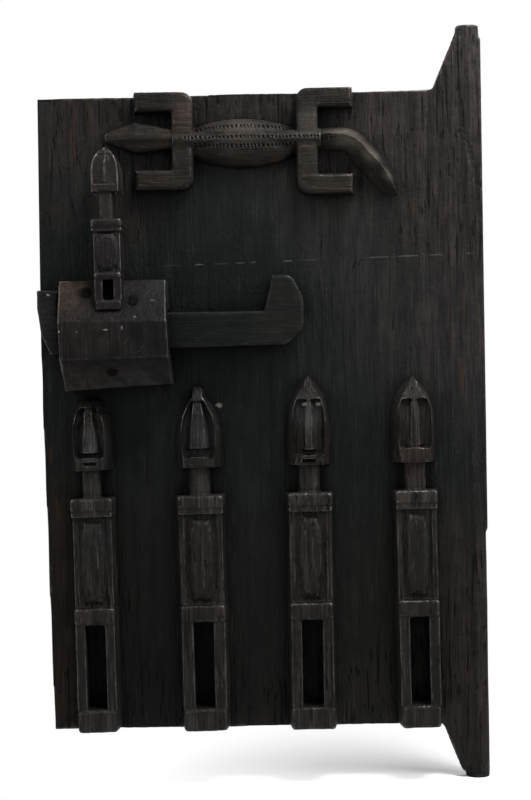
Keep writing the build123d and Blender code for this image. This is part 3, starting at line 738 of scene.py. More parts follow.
def dress(piece, look, body, name, below=0.0, behind=0.0, above=0.0):
    """Finish a piece that stands for a measured one.

    It is trimmed to that one's box, where no reach beyond it is given, so that it never grows. It
    gets smooth shading and its material, and it rides on its body.
    """
    low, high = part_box(name)
    low = low - Vector((0, 0, below))
    high = high + Vector((0, behind, above))
    for vert in piece.data.vertices:
        for axis in range(3):
            vert.co[axis] = min(max(vert.co[axis], low[axis]), high[axis])
    choose(piece)
    bpy.ops.object.shade_smooth()
    piece.data.materials.clear()
    piece.data.materials.append(look)
    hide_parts(name)
    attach(piece, body)
    print(piece.name, "triangles", sum(len(face.vertices) - 2 for face in piece.data.polygons))


print("helpers ready")

# %% [markdown]
# ## The plank
#
# The plank is about 25 mm thick. Its left edge spreads towards the top and bows out a little. A
# post with rounded corners lies along its right edge, with a fin of wood at each end that runs out
# to the pintle, and its ends are round so that they can turn. A slab, a post, a rod and two wedges
# get one skin. They are a little too large on purpose, because dents take some wood away.

# %% Plank
LOWER_PINTLE = 58 * MM  # lower tip to the panel's bottom edge
UPPER_PINTLE = 64 * MM  # the panel's top edge to the upper tip
EDGE_FLARE = 10 * MM  # the panel is this much wider at its top
TOP_RISE = 4 * MM  # its top edge climbs towards the pivot
FIN_REACH = 38 * MM
FIN_START = 5 * MM  # the lower fin leaves the post this high above the tip
UPPER_FIN_TIP = 10 * MM  # where the fins meet the post, from the pivot axis
LOWER_FIN_TIP = 17 * MM
FIN_SET_BACK = 2 * MM
POST_ROUND = 7 * MM
JOURNAL = 12 * MM
SPARE = 1.2 * MM  # extra wood for the dents
EDGE_SPARE = 3 * MM
BOTTOM_SPARE = 4.8 * MM
POST_SPARE = 3.5 * MM
BOW = 3 * MM  # how far the left edge bows out half way up
BOW_LEVELS = (280 * MM, 430 * MM, 560 * MM)
STEP_HEIGHT = 246 * MM  # below it the post has lost a splinter
STEP = 3 * MM
PLANK_VOXEL = 2 * MM

plank_low, plank_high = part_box("door_plank")
post_radius = plank_high.x
panel_top = plank_high.z - UPPER_PINTLE


def add_fin(base, tip, tip_reach):
    """A wedge that runs out from the panel's edge to the post, and thins towards the tip."""
    low, high = sorted((base, tip))
    fin = add_block((-FIN_REACH, plank_low.y, low), (0, plank_high.y, high))
    work_on(fin)
    move(lambda at: at.x < -FIN_REACH / 2 and abs(at.z - tip) < MM, x=FIN_REACH - tip_reach)
    move(lambda at: at.y < 0 and abs(at.z - tip) < MM, y=FIN_SET_BACK)
    deselect()
    return fin


panel = add_block(
    (plank_low.x - EDGE_SPARE, plank_low.y, LOWER_PINTLE - BOTTOM_SPARE),
    (0, plank_high.y, panel_top + SPARE),
)
work_on(panel)
move(lambda at: at.x < DOOR_MIDDLE.x and at.z < DOOR_MIDDLE.z, x=EDGE_FLARE)
move(lambda at: at.x < DOOR_MIDDLE.x and at.z > DOOR_MIDDLE.z, z=-TOP_RISE)
slice_level(*BOW_LEVELS)
for low, high in (BOW_LEVELS[::2], BOW_LEVELS[1:2] * 2):
    move(lambda at: at.x < DOOR_MIDDLE.x and low - MM < at.z < high + MM, x=-BOW / 2)
deselect()
post = add_block(
    (-post_radius, plank_low.y, JOURNAL),
    (post_radius + POST_SPARE, plank_high.y, plank_high.z - JOURNAL),
)
work_on(post)
bevel(lambda middle, way: abs(way.z) > 0.9 and middle.x > 0, POST_ROUND, 4)
slice_level(STEP_HEIGHT, STEP_HEIGHT + STEP)
move(lambda at: at.x > 0 and at.z < STEP_HEIGHT + MM, x=-STEP)
deselect()
plank = join([
    panel, post,
    add_rod((0, 0, -2 * SPARE), (0, 0, plank_high.z + 2 * SPARE), post_radius + SPARE, 48),
    add_fin(LOWER_PINTLE + MM, FIN_START, LOWER_FIN_TIP),
    add_fin(panel_top - MM, plank_high.z + 3 * SPARE, UPPER_FIN_TIP),
], "carved_plank")
one_skin(plank, PLANK_VOXEL, 2)

# %% [markdown]
# Where the upper fin meets the post the wood has opened in a long crease, which runs down beside
# the post and then crosses it. We select the vertices near its line and push them in.

# %% Crease beside the post
CREASE = [(-12.5, 748), (-12, 700), (-11, 672), (-4, 640), (5, 612), (9, 592)]  # millimetres
CREASE_END = 585 * MM
CREASE_REACH = 2.2 * MM
CREASE_DEEP = 1.2 * MM


def near_line(at, points, reach):
    """Whether a place lies within a reach of a line through points, seen from the front."""
    spot = Vector((at.x, at.z))
    for start, end in zip(points, points[1:]):
        start, end = Vector(start) * MM, Vector(end) * MM
        along = min(max((spot - start).dot(end - start) / (end - start).length_squared, 0), 1)
        if (spot - start - along * (end - start)).length < reach:
            return True
    return False


def in_crease(at):
    """Whether a place lies on the front and near the crease."""
    return at.y < -6 * MM and at.z > CREASE_END and near_line(at, CREASE, CREASE_REACH)


work_on(plank)
move(in_crease, y=CREASE_DEEP)
deselect()
dent(plank, 0.055, 1.6 * MM, (1, 1, 2))
dent(plank, 0.012, 0.9 * MM, (1, 1, 5), 0.3)
dent(plank, 0.006, 0.6 * MM, (1, 1, 9), 0.7)
apply_modifier(plank, "DECIMATE", ratio=0.5)
dress(plank, door_look, "door", "door_plank")

# %% [markdown]
# ## Standing figures
#
# All five figures share one scheme: a foot block, two legs with a slot between them, a hip bar, a
# barrel-shaped torso between two straight arms, a shoulder bar, a neck and a tall pointed head. A
# plan holds one figure's sizes in millimetres, then a few shares of the head's height or width,
# and the same functions carve them all.

# %% Plans of the figures
SHARES = "taper fullness tip chin lips mouth nose brow jaw".split()
FigurePlan = namedtuple(
    "FigurePlan",
    "foot leg hip torso shoulder neck head "
    "foot_width hip_width shoulder_width torso_width neck_width slot_width head_width "
    "depth tip_depth arm_drop floor_drop draft rim face_sink nose_width ridge slit embed".split()
    + SHARES,
)
ANCESTOR = FigurePlan(
    foot=20.5, leg=83.5, hip=18.5, torso=88, shoulder=20, neck=26, head=80,
    foot_width=42, hip_width=43, shoulder_width=45, torso_width=31, neck_width=22, slot_width=19,
    head_width=47, depth=28, tip_depth=15, arm_drop=5, floor_drop=6.5, draft=3, rim=1.7,
    face_sink=5.5, nose_width=19, ridge=6.5, slit=2.2, embed=3,
    taper=1, fullness=1, tip=0, chin=0.10, lips=0.12, mouth=0.055, nose=0.17, brow=0.75, jaw=0,
)
ANCESTORS = [
    ANCESTOR._replace(leg=82, head=72.5, foot_width=39.5, hip_width=40.5, shoulder_width=42,
                      neck_width=18.5, slot_width=18, head_width=43.5, nose_width=26, ridge=11,
                      fullness=0.38, chin=0.17, lips=0.19, mouth=0.10, nose=0.24, brow=0.88),
    ANCESTOR._replace(head=80.5, foot_width=43.5, hip_width=45, shoulder_width=46.5,
                      slot_width=18, torso_width=32, head_width=49, nose_width=28, ridge=14,
                      slit=0, fullness=1.7, tip=0.32, chin=0.11, lips=0.15, mouth=0, nose=0.235,
                      brow=0.84),
    ANCESTOR._replace(leg=84.5, head=89, foot_width=44.5, hip_width=43.5, torso_width=29),
    ANCESTOR._replace(leg=85.5, head=86, foot_width=39.5, hip_width=41.5, shoulder_width=43,
                      slot_width=17.5, head_width=48.5, nose_width=23, ridge=8, fullness=0.92,
                      torso_width=29, slit=1.2, chin=0.16, lips=0.17, mouth=0.07, nose=0.20),
]
ANCESTOR_LEANS = [1.0, 0.75, 0.2, 0.55]  # degrees, heads towards the free side
ANCESTOR_FEET = [-377.5, -271.3, -165.2, -59.0]
print("figures", len(ANCESTORS) + 1)

# %% [markdown]
# Every form of a figure is a block that is carved row by row. We slice it at the levels of its
# rows, then set how deep the front is and how wide the front and the back are at each level. A
# wider back gives the slanted sides that let a figure stand out from the plank.

# %% Blocks carved row by row
ROUGH = 10 * MM


def add_carved(rows, back, x=0.0):
    """A block from rows of (level, depth, half the width in front, half the width behind)."""
    block = add_block((-ROUGH, back - ROUGH, rows[0][0]), (ROUGH, back, rows[-1][0]))
    work_on(block)
    slice_level(*[row[0] for row in rows[1:-1]])
    for level, depth, front_half, back_half in rows:
        pick(lambda at: abs(at.z - level) < 0.01 * MM and at.y > back - ROUGH / 2)
        squeeze(x=back_half / ROUGH)
        pick(lambda at: abs(at.z - level) < 0.01 * MM and at.y < back - ROUGH / 2)
        squeeze(x=front_half / ROUGH)
        move(y=ROUGH - back - depth)
    deselect()
    block.location.x = x
    return settle(block)


def soften(block, amount, segments=2, corners=False):
    """Round the edges all round a block's front, and the corners that run back if asked."""
    front = min(vert.co.y for vert in block.data.vertices)
    back = max(vert.co.y for vert in block.data.vertices)
    reach = back - MM if corners else front + 0.5 * (back - front)
    work_on(block)
    bevel(lambda at, way: at.y < reach and (corners or abs(way.y) < 0.5), amount, segments)
    deselect()
    return block


def add_bar(low, high, depth, half, draft, soft, back, x=0.0):
    """A straight bar whose sides slant out towards the back."""
    rows = [(low, depth, half, half + draft), (high, depth, half, half + draft)]
    return soften(add_carved(rows, back, x), soft, 4, corners=True)


print("carved blocks ready")

# %% [markdown]
# The head is the richest form. Its rows give the almond outline of the front, the wider outline
# behind it and the tip that leans back. The face is the front between chin and brow: inset leaves
# a thin rim, and extrude sinks the rest. A wedge makes the nose, a bar below it makes the lips,
# and a small box cuts the mouth of the figures that have one.

# %% Heads
HEAD_ROWS = [  # shares: of the height, the depth, and half the width in front and behind
    (0.00, 0.90, 0.60, 1.00),
    (0.04, 1.00, 0.62, 1.00),
    (0.12, 1.00, 0.65, 1.00),
    (0.30, 1.00, 0.71, 1.00),
    (0.48, 1.00, 0.72, 0.98),
    (0.64, 0.99, 0.66, 0.90),
    (0.77, 0.92, 0.50, 0.76),
    (0.88, 0.68, 0.26, 0.52),
    (0.96, 0.34, 0.12, 0.28),
    (1.00, 0.00, 0.04, 0.10),
]
TIP_END = 0.6  # a blunt head narrows to this share at its very top
KEEL = 2.5 * MM  # how far the forehead falls away beside the ridge
FACE_BED = 1.5 * MM  # how deep the nose and the lips sit in the sunk face
MOUTH_DEEP = 3.2 * MM


def front_depth(plan, share):
    """How far the head's front stands out at a share of its height."""
    for low, high in zip(HEAD_ROWS, HEAD_ROWS[1:]):
        if low[0] <= share <= high[0]:
            part = (share - low[0]) / (high[0] - low[0])
            depth = low[1] + part * (high[1] - low[1])
    return plan.tip_depth + depth * (plan.depth - plan.tip_depth)


def add_head(plan, base):
    """A pointed head on its chin line, with a sunk face."""
    rows = []
    for share, _, front, back in HEAD_ROWS:
        tip = plan.tip * (1 if share < 1 else TIP_END)
        half = max(back ** plan.fullness, tip) * plan.head_width / 2
        narrowing = max(1 - (1 - front / back) * plan.taper, 2 * plan.tip)
        rows.append((base + share * plan.head, front_depth(plan, share), half * narrowing, half))
    head = add_carved(rows, plan.embed)
    chin = base + plan.chin * plan.head
    brow = base + plan.brow * plan.head
    ridge_half = plan.ridge / 2
    front = -plan.tip_depth / 2
    work_on(head)
    slice_level(chin, brow)
    for side in (-1, 1):
        slice_at((side * ridge_half, 0, 0), (1, 0, 0))
    move(lambda at: at.y < front and at.z > brow + MM and abs(at.x) > ridge_half + MM, y=KEEL)
    select_parts("FACE", lambda face: (
        chin < face.calc_center_median().z < brow and face.normal.y < -0.7
    ))
    bpy.ops.mesh.inset(thickness=plan.rim, depth=0)
    bpy.ops.mesh.extrude_region_move(TRANSFORM_OT_translate={"value": (0, plan.face_sink, 0)})
    move(lambda at: at.z < base + MM and at.y > front, z=plan.jaw * plan.head)
    deselect()
    return head


def add_nose(plan, base):
    """A long wedge with a flat ridge, narrow at the brow and broad at its foot."""
    shares = [  # of the head's height, the ridge and the nose's width
        (plan.nose, 1.1, 1), (0.45, 1, 0.85), (0.66, 0.8, 0.62), (plan.brow + 0.06, 0.35, 0.3)
    ]
    rows = [
        (base + share * plan.head, front_depth(plan, share) - 0.4 * MM,
         ridge * plan.ridge / 2, width * plan.nose_width / 2)
        for share, ridge, width in shares
    ]
    return add_carved(rows, plan.face_sink - plan.depth + FACE_BED)


def add_lips(plan, base):
    """A low bar above the chin."""
    return add_bar(
        base + 0.03 * plan.head, base + plan.lips * plan.head, plan.depth + 0.3 * MM,
        0.19 * plan.head_width, MM, 1.2 * MM, plan.face_sink - plan.depth + FACE_BED,
    )


def cut_mouth(form, plan, base):
    """A thin slit across the lips."""
    level = base + plan.mouth * plan.head
    half = plan.head_width * 0.14
    hollow(
        form, (-half, -plan.depth - MM, level - plan.slit / 2),
        (half, -plan.depth + MOUTH_DEEP, level + plan.slit / 2),
    )


print("head functions ready")

# %% [markdown]
# The body below is a ladder of bars. The torso between the arms is narrower at its ends and set
# back there, so its top and bottom look rounded and catch the light from above.

# %% Bodies
TORSO_ROWS = [  # shares: of the height, how far it is set back, half the width front and back
    (0.00, 1.00, 0.42, 0.72),
    (0.05, 0.50, 0.52, 0.84),
    (0.15, 0.16, 0.62, 0.92),
    (0.40, 0.00, 0.74, 1.00),
    (0.65, 0.00, 0.76, 1.00),
    (0.84, 0.14, 0.66, 0.94),
    (0.94, 0.50, 0.54, 0.84),
    (1.00, 1.00, 0.42, 0.72),
]
TORSO_ROUND = 0.16  # of the torso's edges, as a share of its width
ARM_SHARE = 0.16  # an arm's width, as a share of the shoulders'
LIP_SHARE = 0.26  # the shoulder bar's thin lower part, as a share of its height
SOFT = 3.6 * MM  # rounding of the bars
STEP_BACK = 1.2 * MM  # how far thinner parts lie behind the bars


def rough_out_figure(plan):
    """The forms of a standing figure, with its back at y = 0 and its soles at z = 0.

    The plan is in millimetres, and everything is worked out from it in metres.
    """
    plan = plan._replace(
        **{key: value * MM for key, value in plan._asdict().items() if key not in SHARES}
    )
    hips = plan.foot + plan.leg
    waist = hips + plan.hip
    chest = waist + plan.torso
    collar = chest + plan.shoulder
    chin = collar + plan.neck
    lip = chest + LIP_SHARE * plan.shoulder
    depth, draft, back = plan.depth, plan.draft, plan.embed
    arm_front = depth - plan.arm_drop
    floor_depth = depth - plan.floor_drop
    sole = -min(back, 3.5 * MM)
    shoulder_half = plan.shoulder_width / 2
    leg_outer = plan.hip_width / 2 - 0.2 * MM
    leg_half = (leg_outer - plan.slot_width / 2) / 2
    arm_outer = min(plan.shoulder_width, plan.hip_width) / 2 - 0.3 * MM
    arm_half = ARM_SHARE * plan.shoulder_width / 2
    torso_half = plan.torso_width / 2
    bars = [  # low and high end, depth, half the width, draft and rounding
        (sole, plan.foot, depth, plan.foot_width / 2, draft, SOFT),
        (hips, waist, depth, plan.hip_width / 2, draft, SOFT),
        (lip, collar, depth, shoulder_half, draft, SOFT),
        (chest, lip + MM, depth - STEP_BACK, shoulder_half - MM / 2, draft, SOFT / 2),
        (collar - 4 * MM, chin + 5 * MM, arm_front, plan.neck_width / 2, 0, 0.3 * plan.neck_width),
    ]
    limbs = [  # low and high end, depth, half the width and outer side
        (plan.foot - 2 * MM, hips + 2 * MM, depth - STEP_BACK, leg_half, leg_outer),
        (waist - 3 * MM, chest + 3 * MM, arm_front, arm_half, arm_outer),
    ]
    forms = [add_bar(*bar, back) for bar in bars]
    for side in (-1, 1):
        for low, high, front, half, outer in limbs:
            limb = add_bar(low, high, front, half, 0, SOFT / 2, back, side * (outer - half))
            work_on(limb)
            move(lambda at: at.y > -MM and side * at.x > outer - MM, x=side * draft)
            deselect()
            forms.append(limb)
    rows = [
        (waist + share * plan.torso, depth - 0.4 * MM - set_back * plan.floor_drop,
         front * torso_half, rear * torso_half)
        for share, set_back, front, rear in TORSO_ROWS
    ]
    torso = add_carved(rows, 6 * MM - floor_depth)
    forms.append(soften(torso, TORSO_ROUND * plan.torso_width, 4))
    floor_low = (-arm_outer, -floor_depth, waist - MM)
    forms.append(add_block(floor_low, (arm_outer, back, chest + MM)))
    face = [add_head(plan, chin), add_lips(plan, chin)]
    if plan.slit:
        for form in face:
            cut_mouth(form, plan, chin)
    return forms + face + [add_nose(plan, chin)]


print("body functions ready")

# %% [markdown]
# The ancestors stand on the panel's bottom edge, and each leans a little. Their forms are joined,
# turned and placed, and only then get their skin, so that the voxels line up with the plank.

# %% Ancestors
FIGURE_VOXEL = 0.9 * MM
REACH_OUT = 3 * MM  # how far a figure reaches below its box and into the plank


def place_figure(plan, name, lean, place):
    """Carve a figure, lean it towards the free side and stand it at a place."""
    figure = join(rough_out_figure(plan), name)
    figure.rotation_euler = (0, -math.radians(lean), 0)
    figure.location = place
    return settle(figure)


for number, plan in enumerate(ANCESTORS):
    ancestor = place_figure(
        plan, f"carved_ancestor_{number + 1}", ANCESTOR_LEANS[number],
        (ANCESTOR_FEET[number] * MM, FACE, LOWER_PINTLE),
    )
    one_skin(ancestor, FIGURE_VOXEL, 2)
    dent(ancestor, 0.02, 0.9 * MM, (1, 1, 2), 0.2 * number)
    dent(ancestor, 0.0035, 0.6 * MM, (1, 1, 5), 0.5 + number)
    dress(
        ancestor, carving_look, "door", f"ancestor_figure_{number + 1}",
        below=REACH_OUT, behind=REACH_OUT,
    )

# %% [markdown]
# ## The lizard
#
# Seen from above, its snout points to the lock and its tail curls down. The body is an ellipsoid
# half sunk in the plank. The legs are C-shaped, made of blocks with rounded edges. The tail is a
# curve with a four-sided section, whose upper corner is the ridge.

# %% Lizard
LEG_WIDTH = 22.5 * MM
LEG_SPREAD = 124 * MM
LEG_RELIEF = 17 * MM
LEG_ROUND = 12 * MM  # of the outline at the outer corners
LEG_EDGE = 5.5 * MM
TOE_WIDTH = 19.5 * MM
TOE_EDGE = 4.5 * MM
HIND_REACH = 52.2 * MM
HIND_RISE = MM  # how far a pair of legs sits above the spine's line
HIND_TOE = 34 * MM
FRONT_REACH = 48 * MM
FRONT_RISE = 2.6 * MM
FRONT_TOE = 36 * MM
BODY_LONG = 62 * MM  # half its length
BODY_HALF = 25 * MM
BODY_RELIEF = 20 * MM
WAIST_RADIUS = 11 * MM  # of the rod that runs along inside the body
WAIST_RELIEF = 1.75  # how much deeper than wide it is
LIZARD_X = -225 * MM
SPINE_Z = 636.5 * MM
EMBED = 3 * MM
RAISED = FACE - 5 * MM  # what lies in front of this is the front of the relief
LIZARD_VOXEL = 0.86 * MM

front_x = LIZARD_X - LEG_SPREAD / 2
hind_x = LIZARD_X + LEG_SPREAD / 2


def add_leg(x, middle, reach, toe, side):
    """A C-shaped pair of legs: a bar across the body with a toe at each end."""
    front = FACE - LEG_RELIEF
    back = FACE + EMBED
    leg = add_block(
        (x - LEG_WIDTH / 2, front, middle - reach - SPARE),
        (x + LEG_WIDTH / 2, back, middle + reach + SPARE),
    )
    work_on(leg)
    bevel(lambda at, way: abs(way.y) > 0.9 and (at.x - x) * side < 0, LEG_ROUND, 5)
    bevel(lambda at, way: at.y < front + 0.1 * MM, LEG_EDGE, 4)
    deselect()
    forms = [leg]
    start = x + side * 4 * MM
    end = x + side * (LEG_WIDTH / 2 + toe + 2 * SPARE)
    for up in (-1, 1):
        low, high = sorted((middle + up * (reach + SPARE), middle + up * (reach - TOE_WIDTH)))
        bar = add_block((min(start, end), front, low), (max(start, end), back, high))
        work_on(bar)
        bevel(lambda at, way: at.y < front + 0.1 * MM, TOE_EDGE, 4)
        move(lambda at: abs(at.x - end) < 7 * MM and at.y < RAISED, x=-side * 2 * MM)
        deselect()
        forms.append(bar)
    return forms


forms = add_leg(front_x, SPINE_Z + FRONT_RISE, FRONT_REACH, FRONT_TOE, -1)
forms += add_leg(hind_x, SPINE_Z + HIND_RISE, HIND_REACH, HIND_TOE, 1)
body_middle = (LIZARD_X - 2 * MM, FACE, SPINE_Z + MM)
forms.append(add_ball(body_middle, (BODY_LONG, BODY_RELIEF + MM, BODY_HALF)))
waist = add_rod(
    (front_x - 10 * MM, FACE, SPINE_Z + 3 * MM),
    (hind_x + 14 * MM, FACE, SPINE_Z + 4 * MM), WAIST_RADIUS,
)
work_on(waist)
pick_all()
squeeze(y=WAIST_RELIEF, about=(0, FACE, 0))
deselect()
forms.append(waist)
print("legs and body", len(forms))

# %% [markdown]
# The head is a block that we slice at the cheeks and along the spine. The snout is squeezed to a
# point, the neck is drawn in, and the sides fall away from a ridge.

# %% Lizard's head and tail
HEAD_LENGTH = 66 * MM
HEAD_HALF = 16 * MM
CHEEK_SHARE = 0.54  # where the cheeks are, from the neck to the snout
SNOUT_SHARE, NECK_SHARE = 0.30, 0.55  # how high they are, as a share of the cheeks' height
SNOUT_RISE, NECK_RISE, CHEEK_RISE = 7 * MM, 5 * MM, 7 * MM
SNOUT_SET_BACK = 5 * MM
SIDE_SET_BACK = 6 * MM
neck_x = front_x - LEG_WIDTH / 2
snout_x = neck_x - HEAD_LENGTH
cheek_x = CHEEK_SHARE * snout_x + (1 - CHEEK_SHARE) * neck_x
lizard_head = add_block(
    (snout_x, FACE - LEG_RELIEF, SPINE_Z - HEAD_HALF),
    (neck_x + 8 * MM, FACE + EMBED, SPINE_Z + HEAD_HALF),
)
work_on(lizard_head)
slice_at((cheek_x, 0, 0), (1, 0, 0))
slice_level(SPINE_Z)
pick(lambda at: at.x < snout_x + MM)
squeeze(z=SNOUT_SHARE, about=(0, 0, SPINE_Z))
move(z=SNOUT_RISE)
pick(lambda at: at.x > neck_x)
squeeze(z=NECK_SHARE, about=(0, 0, SPINE_Z))
move(z=NECK_RISE)
move(lambda at: abs(at.x - cheek_x) < MM, z=CHEEK_RISE)
move(lambda at: at.y < RAISED and at.x < snout_x + MM, y=SNOUT_SET_BACK)
move(lambda at: at.y < RAISED and abs(at.z - SPINE_Z - 6 * MM) > 6 * MM, y=SIDE_SET_BACK)
bevel(lambda at, way: at.y < FACE - 4 * MM and abs(way.z) < 0.7, 3 * MM, 3)
deselect()

TAIL_POINTS = [  # x, z and half the width, in millimetres
    (-170, 640, 11), (-148, 642, 12), (-119, 640, 13.5), (-103, 621, 14.5), (-84, 600, 13.5),
    (-77, 583, 6),
]
TAIL_RELIEF = 1.4  # how much deeper than wide it is
TAIL_RIDGE = 2 * MM  # its ridge lies nearer to the upper edge
TAIL_FREE = -0.15  # it leaves the hind legs here
tail_line = bpy.data.curves.new("tail", "CURVE")
tail_line.dimensions = "3D"
tail_line.bevel_depth = 1.0
tail_line.bevel_resolution = 0
tail_line.use_fill_caps = True
spline = tail_line.splines.new("NURBS")
spline.points.add(len(TAIL_POINTS) - 1)
for point, (x, z, half) in zip(spline.points, TAIL_POINTS):
    point.co = (x * MM, FACE, z * MM, 1)
    point.radius = half * MM
spline.order_u = 3
spline.use_endpoint_u = True
tail = bpy.data.objects.new("tail", tail_line)
bpy.context.collection.objects.link(tail)
choose(tail)
bpy.ops.object.convert(target="MESH")
tail = bpy.context.object
work_on(tail)
pick_all()
squeeze(y=TAIL_RELIEF, about=(0, FACE, 0))
move(lambda at: at.y < RAISED and at.x > TAIL_FREE, x=TAIL_RIDGE, z=TAIL_RIDGE)
deselect()

lizard = join(forms + [lizard_head, tail], "carved_lizard")
one_skin(lizard, LIZARD_VOXEL, 3)

# %% [markdown]
# Three rows of short notches run along the back: two on the flanks and one on the spine, which
# goes on over the hind legs and onto the tail. They are cut after the skin, because a remesh
# would close such thin cuts. We select the vertices in each notch and push them in.

# %% Notches on the lizard's back
NOTCH_PITCH = 3.9 * MM
NOTCH_WIDE = 1.3 * MM
NOTCH_DEEP = 1.4 * MM
NOTCH_SLANT = 0.3
FLANK_END = 0.85  # where the rows on the flanks end, as a share of the half length


def in_notch(at):
    """Whether a place lies in one of the notches, seen from the front."""
    share = (at.x - LIZARD_X) / 60 / MM
    spine = SPINE_Z + 4.5 * MM
    rows = [(spine, 1.5 * MM, -1.0, 1.5)]
    if abs(share) < FLANK_END:
        bow = 1 - 0.4 * share * share
        for rise in (11.5 * MM, -9 * MM):
            rows.append((spine + rise * bow, 1.4 * MM, -FLANK_END, FLANK_END))
    for level, half_tall, start, end in rows:
        in_row = start < share < end and abs(at.z - level) < half_tall
        slant = at.x + NOTCH_SLANT * (at.z - level) + 0.8 * MM * math.sin(at.x / (5 * MM))
        if in_row and slant % NOTCH_PITCH < NOTCH_WIDE:
            return True
    return False


work_on(lizard)
move(lambda at: at.y < FACE - 7 * MM and in_notch(at), y=NOTCH_DEEP)
deselect()
dent(lizard, 0.02, 0.8 * MM, (2, 1, 1), 0.4)
dent(lizard, 0.0035, 0.5 * MM, (1, 1, 5), 0.9)
dress(
    lizard, lizard_look, "door", "lizard_relief", behind=EMBED, above=2 * SPARE
)

# %% [markdown]
# ## The lock
#
# The case is a block with three facets on its front. Behind, a channel runs from side to side for
# the bolt, and three slots above it hold the tumblers. We cut them from the block with Boolean
# modifiers before the skin is drawn, a little wider than measured, so that nothing binds.

# %% Lock case
case_low, case_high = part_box("lock_case")
bolt_low, bolt_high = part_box("crossbolt")
TUMBLERS = ("tumbler_left", "tumbler_middle", "tumbler_right")
LOWER_FACET = 30 * MM
MIDDLE_FACET = 37 * MM
RIDGE_RISE = 2.5 * MM
EDGE_DEPTH = 35 * MM
CASE_LEAN = 5 * MM
CASE_RISE = 6 * MM
CASE_MIDDLE = -0.35
TUMBLER_LIFT = 8 * MM
BOLT_BOTTOM = 430 * MM
BOLT_TOP = 469 * MM
ROOM = 1.3 * MM
BEYOND = 0.02  # a cutter runs out this far behind or beside a piece
LOCK_VOXEL = MM


def cut_round_tumblers(form, room, shift, low_z, high_z):
    """Cut a slot round each tumbler, open at the back."""
    for name in TUMBLERS:
        low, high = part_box(name)
        hollow(
            form, (low.x + shift - room, low.y - room, low_z),
            (high.x + shift + room, FACE + BEYOND, high_z),
        )


case = add_block(case_low, case_high)
lower_ridge = case_low.z + LOWER_FACET
upper_ridge = lower_ridge + MIDDLE_FACET
case_height = case_high.z - case_low.z
case_front = case_low.y
work_on(case)
slice_level(lower_ridge, upper_ridge)
for edge in (case_low.z, case_high.z):
    move(
        lambda at: abs(at.z - edge) < MM and at.y < case_front + MM,
        y=FACE - EDGE_DEPTH - case_front,
    )
for level in (case_low.z, lower_ridge, upper_ridge, case_high.z):
    lean = CASE_LEAN * (1 - (level - case_low.z) / case_height)
    move(lambda at: abs(at.z - level) < MM and at.x < CASE_MIDDLE, x=lean)
    move(lambda at: abs(at.z - level) < MM and at.x > CASE_MIDDLE, x=lean - CASE_LEAN)
move(lambda at: at.x > CASE_MIDDLE and at.z < case_low.z + MM, z=CASE_RISE)
move(lambda at: at.x > CASE_MIDDLE and abs(at.z - lower_ridge) < MM, z=RIDGE_RISE)
bevel(lambda at, way: abs(way.x) < 0.5 and at.y < FACE - 30 * MM, 1.6 * MM, 2)
deselect()
hollow(
    case, (case_low.x - BEYOND, bolt_low.y - ROOM, BOLT_BOTTOM - ROOM),
    (case_high.x + BEYOND, FACE + BEYOND, BOLT_TOP + ROOM),
)
slot_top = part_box("tumbler_left")[1].z + TUMBLER_LIFT + ROOM
cut_round_tumblers(case, ROOM, 0, BOLT_TOP, slot_top)
case.name = "carved_lock_case"
one_skin(case, LOCK_VOXEL, 2)
dent(case, 0.022, 1.0 * MM, (1, 1, 1), 0.1)
dent(case, 0.006, 0.3 * MM, (1, 1, 3), 0.6)
dress(case, lock_look, "door", "lock_case")

# %% [markdown]
# The small figure on the lock is carved as the ancestors are, but it is stockier and deeper: its
# sides are straight, its face is shallow, and its bars are rounded like rolls.

# %% Lock figure
LOCK_FIGURE = FigurePlan(
    foot=11, leg=18.5, hip=8.5, torso=38.5, shoulder=13, neck=25, head=45,
    foot_width=26.5, hip_width=27.5, shoulder_width=31, torso_width=27, neck_width=14,
    slot_width=9.5, head_width=28.5, depth=44, tip_depth=32, arm_drop=3, floor_drop=5, draft=0.3,
    rim=2.2, face_sink=1.6, nose_width=8, ridge=1.6, slit=0, embed=0,
    taper=0.2, fullness=1, tip=0.2, chin=0.12, lips=0.10, mouth=0, nose=0.22, brow=0.90, jaw=0.12,
)
LOCK_LINE = -358 * MM
LOCK_FIGURE_LEAN = 0.9  # degrees
LOCK_FIGURE_VOXEL = 0.7 * MM
lock_figure = place_figure(
    LOCK_FIGURE, "carved_lock_figure", LOCK_FIGURE_LEAN,
    (LOCK_LINE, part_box("lock_figure")[1].y, BOLT_TOP),
)
one_skin(lock_figure, LOCK_FIGURE_VOXEL, 3)
dent(lock_figure, 0.012, 0.5 * MM, (1, 1, 2), 0.3)
dress(lock_figure, lock_figure_look, "door", "lock_figure")

# %% [markdown]
# The crossbolt slides behind the case. Its left end is a block that stops against the case, and
# its right end turns up as a handle, whose corners are sawn off and whose front edges are
# bevelled by years of fingers. Three sockets in its top take the tumblers once it is thrown, and
# the key slides in along a groove in its back.

# %% Crossbolt
HANDLE_START = -208.5 * MM
HANDLE_END = bolt_high.x
HANDLE_SLOPE = 8 * MM
HANDLE_CUT = (12 * MM, 22 * MM)
HANDLE_HEEL = 17 * MM
HANDLE_ROUND = 5 * MM
BOLT_SOFT = 3.5 * MM
BOLT_TAPER = 4 * MM
STOP = -409 * MM
END_HIGH = bolt_low.z + 64 * MM
END_BENDS = [(0, 47 * MM, 0.145), (4 * MM, 20 * MM, 0.45)]  # inwards, up, and the slope below
THROW = 28 * MM
SOCKET_DROP = 8.5 * MM
KEYWAY_LIP = 8.5 * MM
SLACK = 0.8 * MM
handle_low = BOLT_BOTTOM + BOLT_TAPER

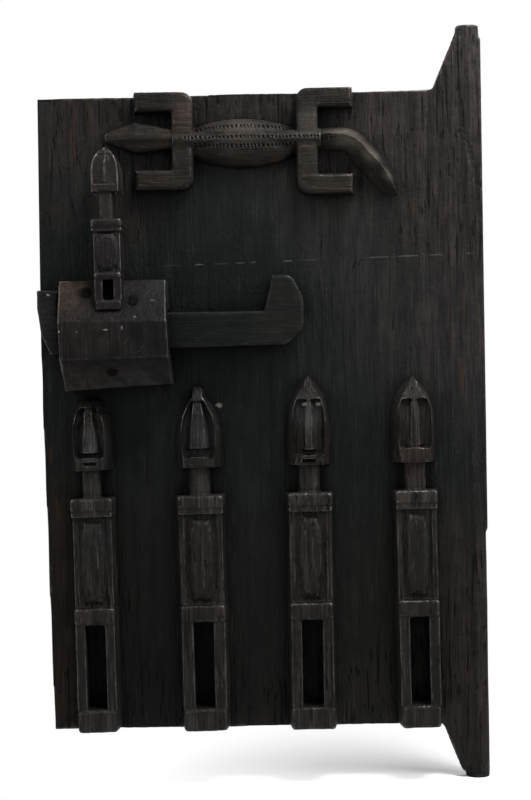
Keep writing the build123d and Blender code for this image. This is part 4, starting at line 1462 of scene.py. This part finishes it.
bar = add_block(
    (STOP - 4 * MM, bolt_low.y, BOLT_BOTTOM), (HANDLE_START + 20 * MM, bolt_high.y, BOLT_TOP)
)
work_on(bar)
move(lambda at: at.x > CASE_MIDDLE and at.z < BOLT_BOTTOM + MM, z=BOLT_TAPER)
deselect()
end_block = add_block(bolt_low, (STOP, bolt_high.y, END_HIGH))
work_on(end_block)
for inwards, up, slope in END_BENDS:
    slice_at((bolt_low.x + inwards, 0, bolt_low.z + up), (-1, 0, -slope), remove=True)
deselect()
handle = add_block((HANDLE_START, bolt_low.y, handle_low), bolt_high)
work_on(handle)
slice_at(
    (HANDLE_END - HANDLE_CUT[0], 0, bolt_high.z), (HANDLE_CUT[1], 0, HANDLE_CUT[0]), remove=True
)
slice_at((HANDLE_END - HANDLE_HEEL, 0, handle_low), (1, 0, -1), remove=True)
slice_at((HANDLE_START, 0, BOLT_TOP), (BOLT_TOP - bolt_high.z, 0, HANDLE_SLOPE), remove=True)
bevel(lambda at, way: abs(way.y) > 0.9 and at.x > HANDLE_END - 25 * MM, HANDLE_ROUND, 3)
deselect()
for form in (bar, end_block, handle):
    soften(form, BOLT_SOFT)
cut_round_tumblers(bar, SLACK, THROW, BOLT_TOP - SOCKET_DROP, BOLT_TOP + BEYOND)
first_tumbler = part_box("tumbler_left")[0]
for form in (bar, handle):
    hollow(
        form,
        (first_tumbler.x + THROW - SLACK, first_tumbler.y - SLACK, BOLT_BOTTOM + KEYWAY_LIP),
        (HANDLE_END + BEYOND, FACE + BEYOND, BOLT_TOP - SOCKET_DROP),
    )
bolt = join([bar, end_block, handle], "carved_crossbolt")
one_skin(bolt, LOCK_VOXEL, 2)
dent(bolt, 0.03, 0.8 * MM, (2, 1, 1), 0.2)
dent(bolt, 0.004, 0.3 * MM, (6, 1, 1), 0.8)
dress(bolt, bolt_look, "crossbolt", "crossbolt")

# %% [markdown]
# The tumblers and the pegs are plain squared and turned sticks, whose measured shape is right. They
# stay as they are, and only get their wood.

# %% Tumblers and pegs
PEGS = ("case_peg_upper_left", "case_peg_upper_right", "case_peg_lower")
for names, look in ((TUMBLERS, tumbler_look), (PEGS, peg_look)):
    for name in names:
        for material_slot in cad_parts[name].material_slots:
            material_slot.material = look
print("plain pieces", len(TUMBLERS + PEGS))
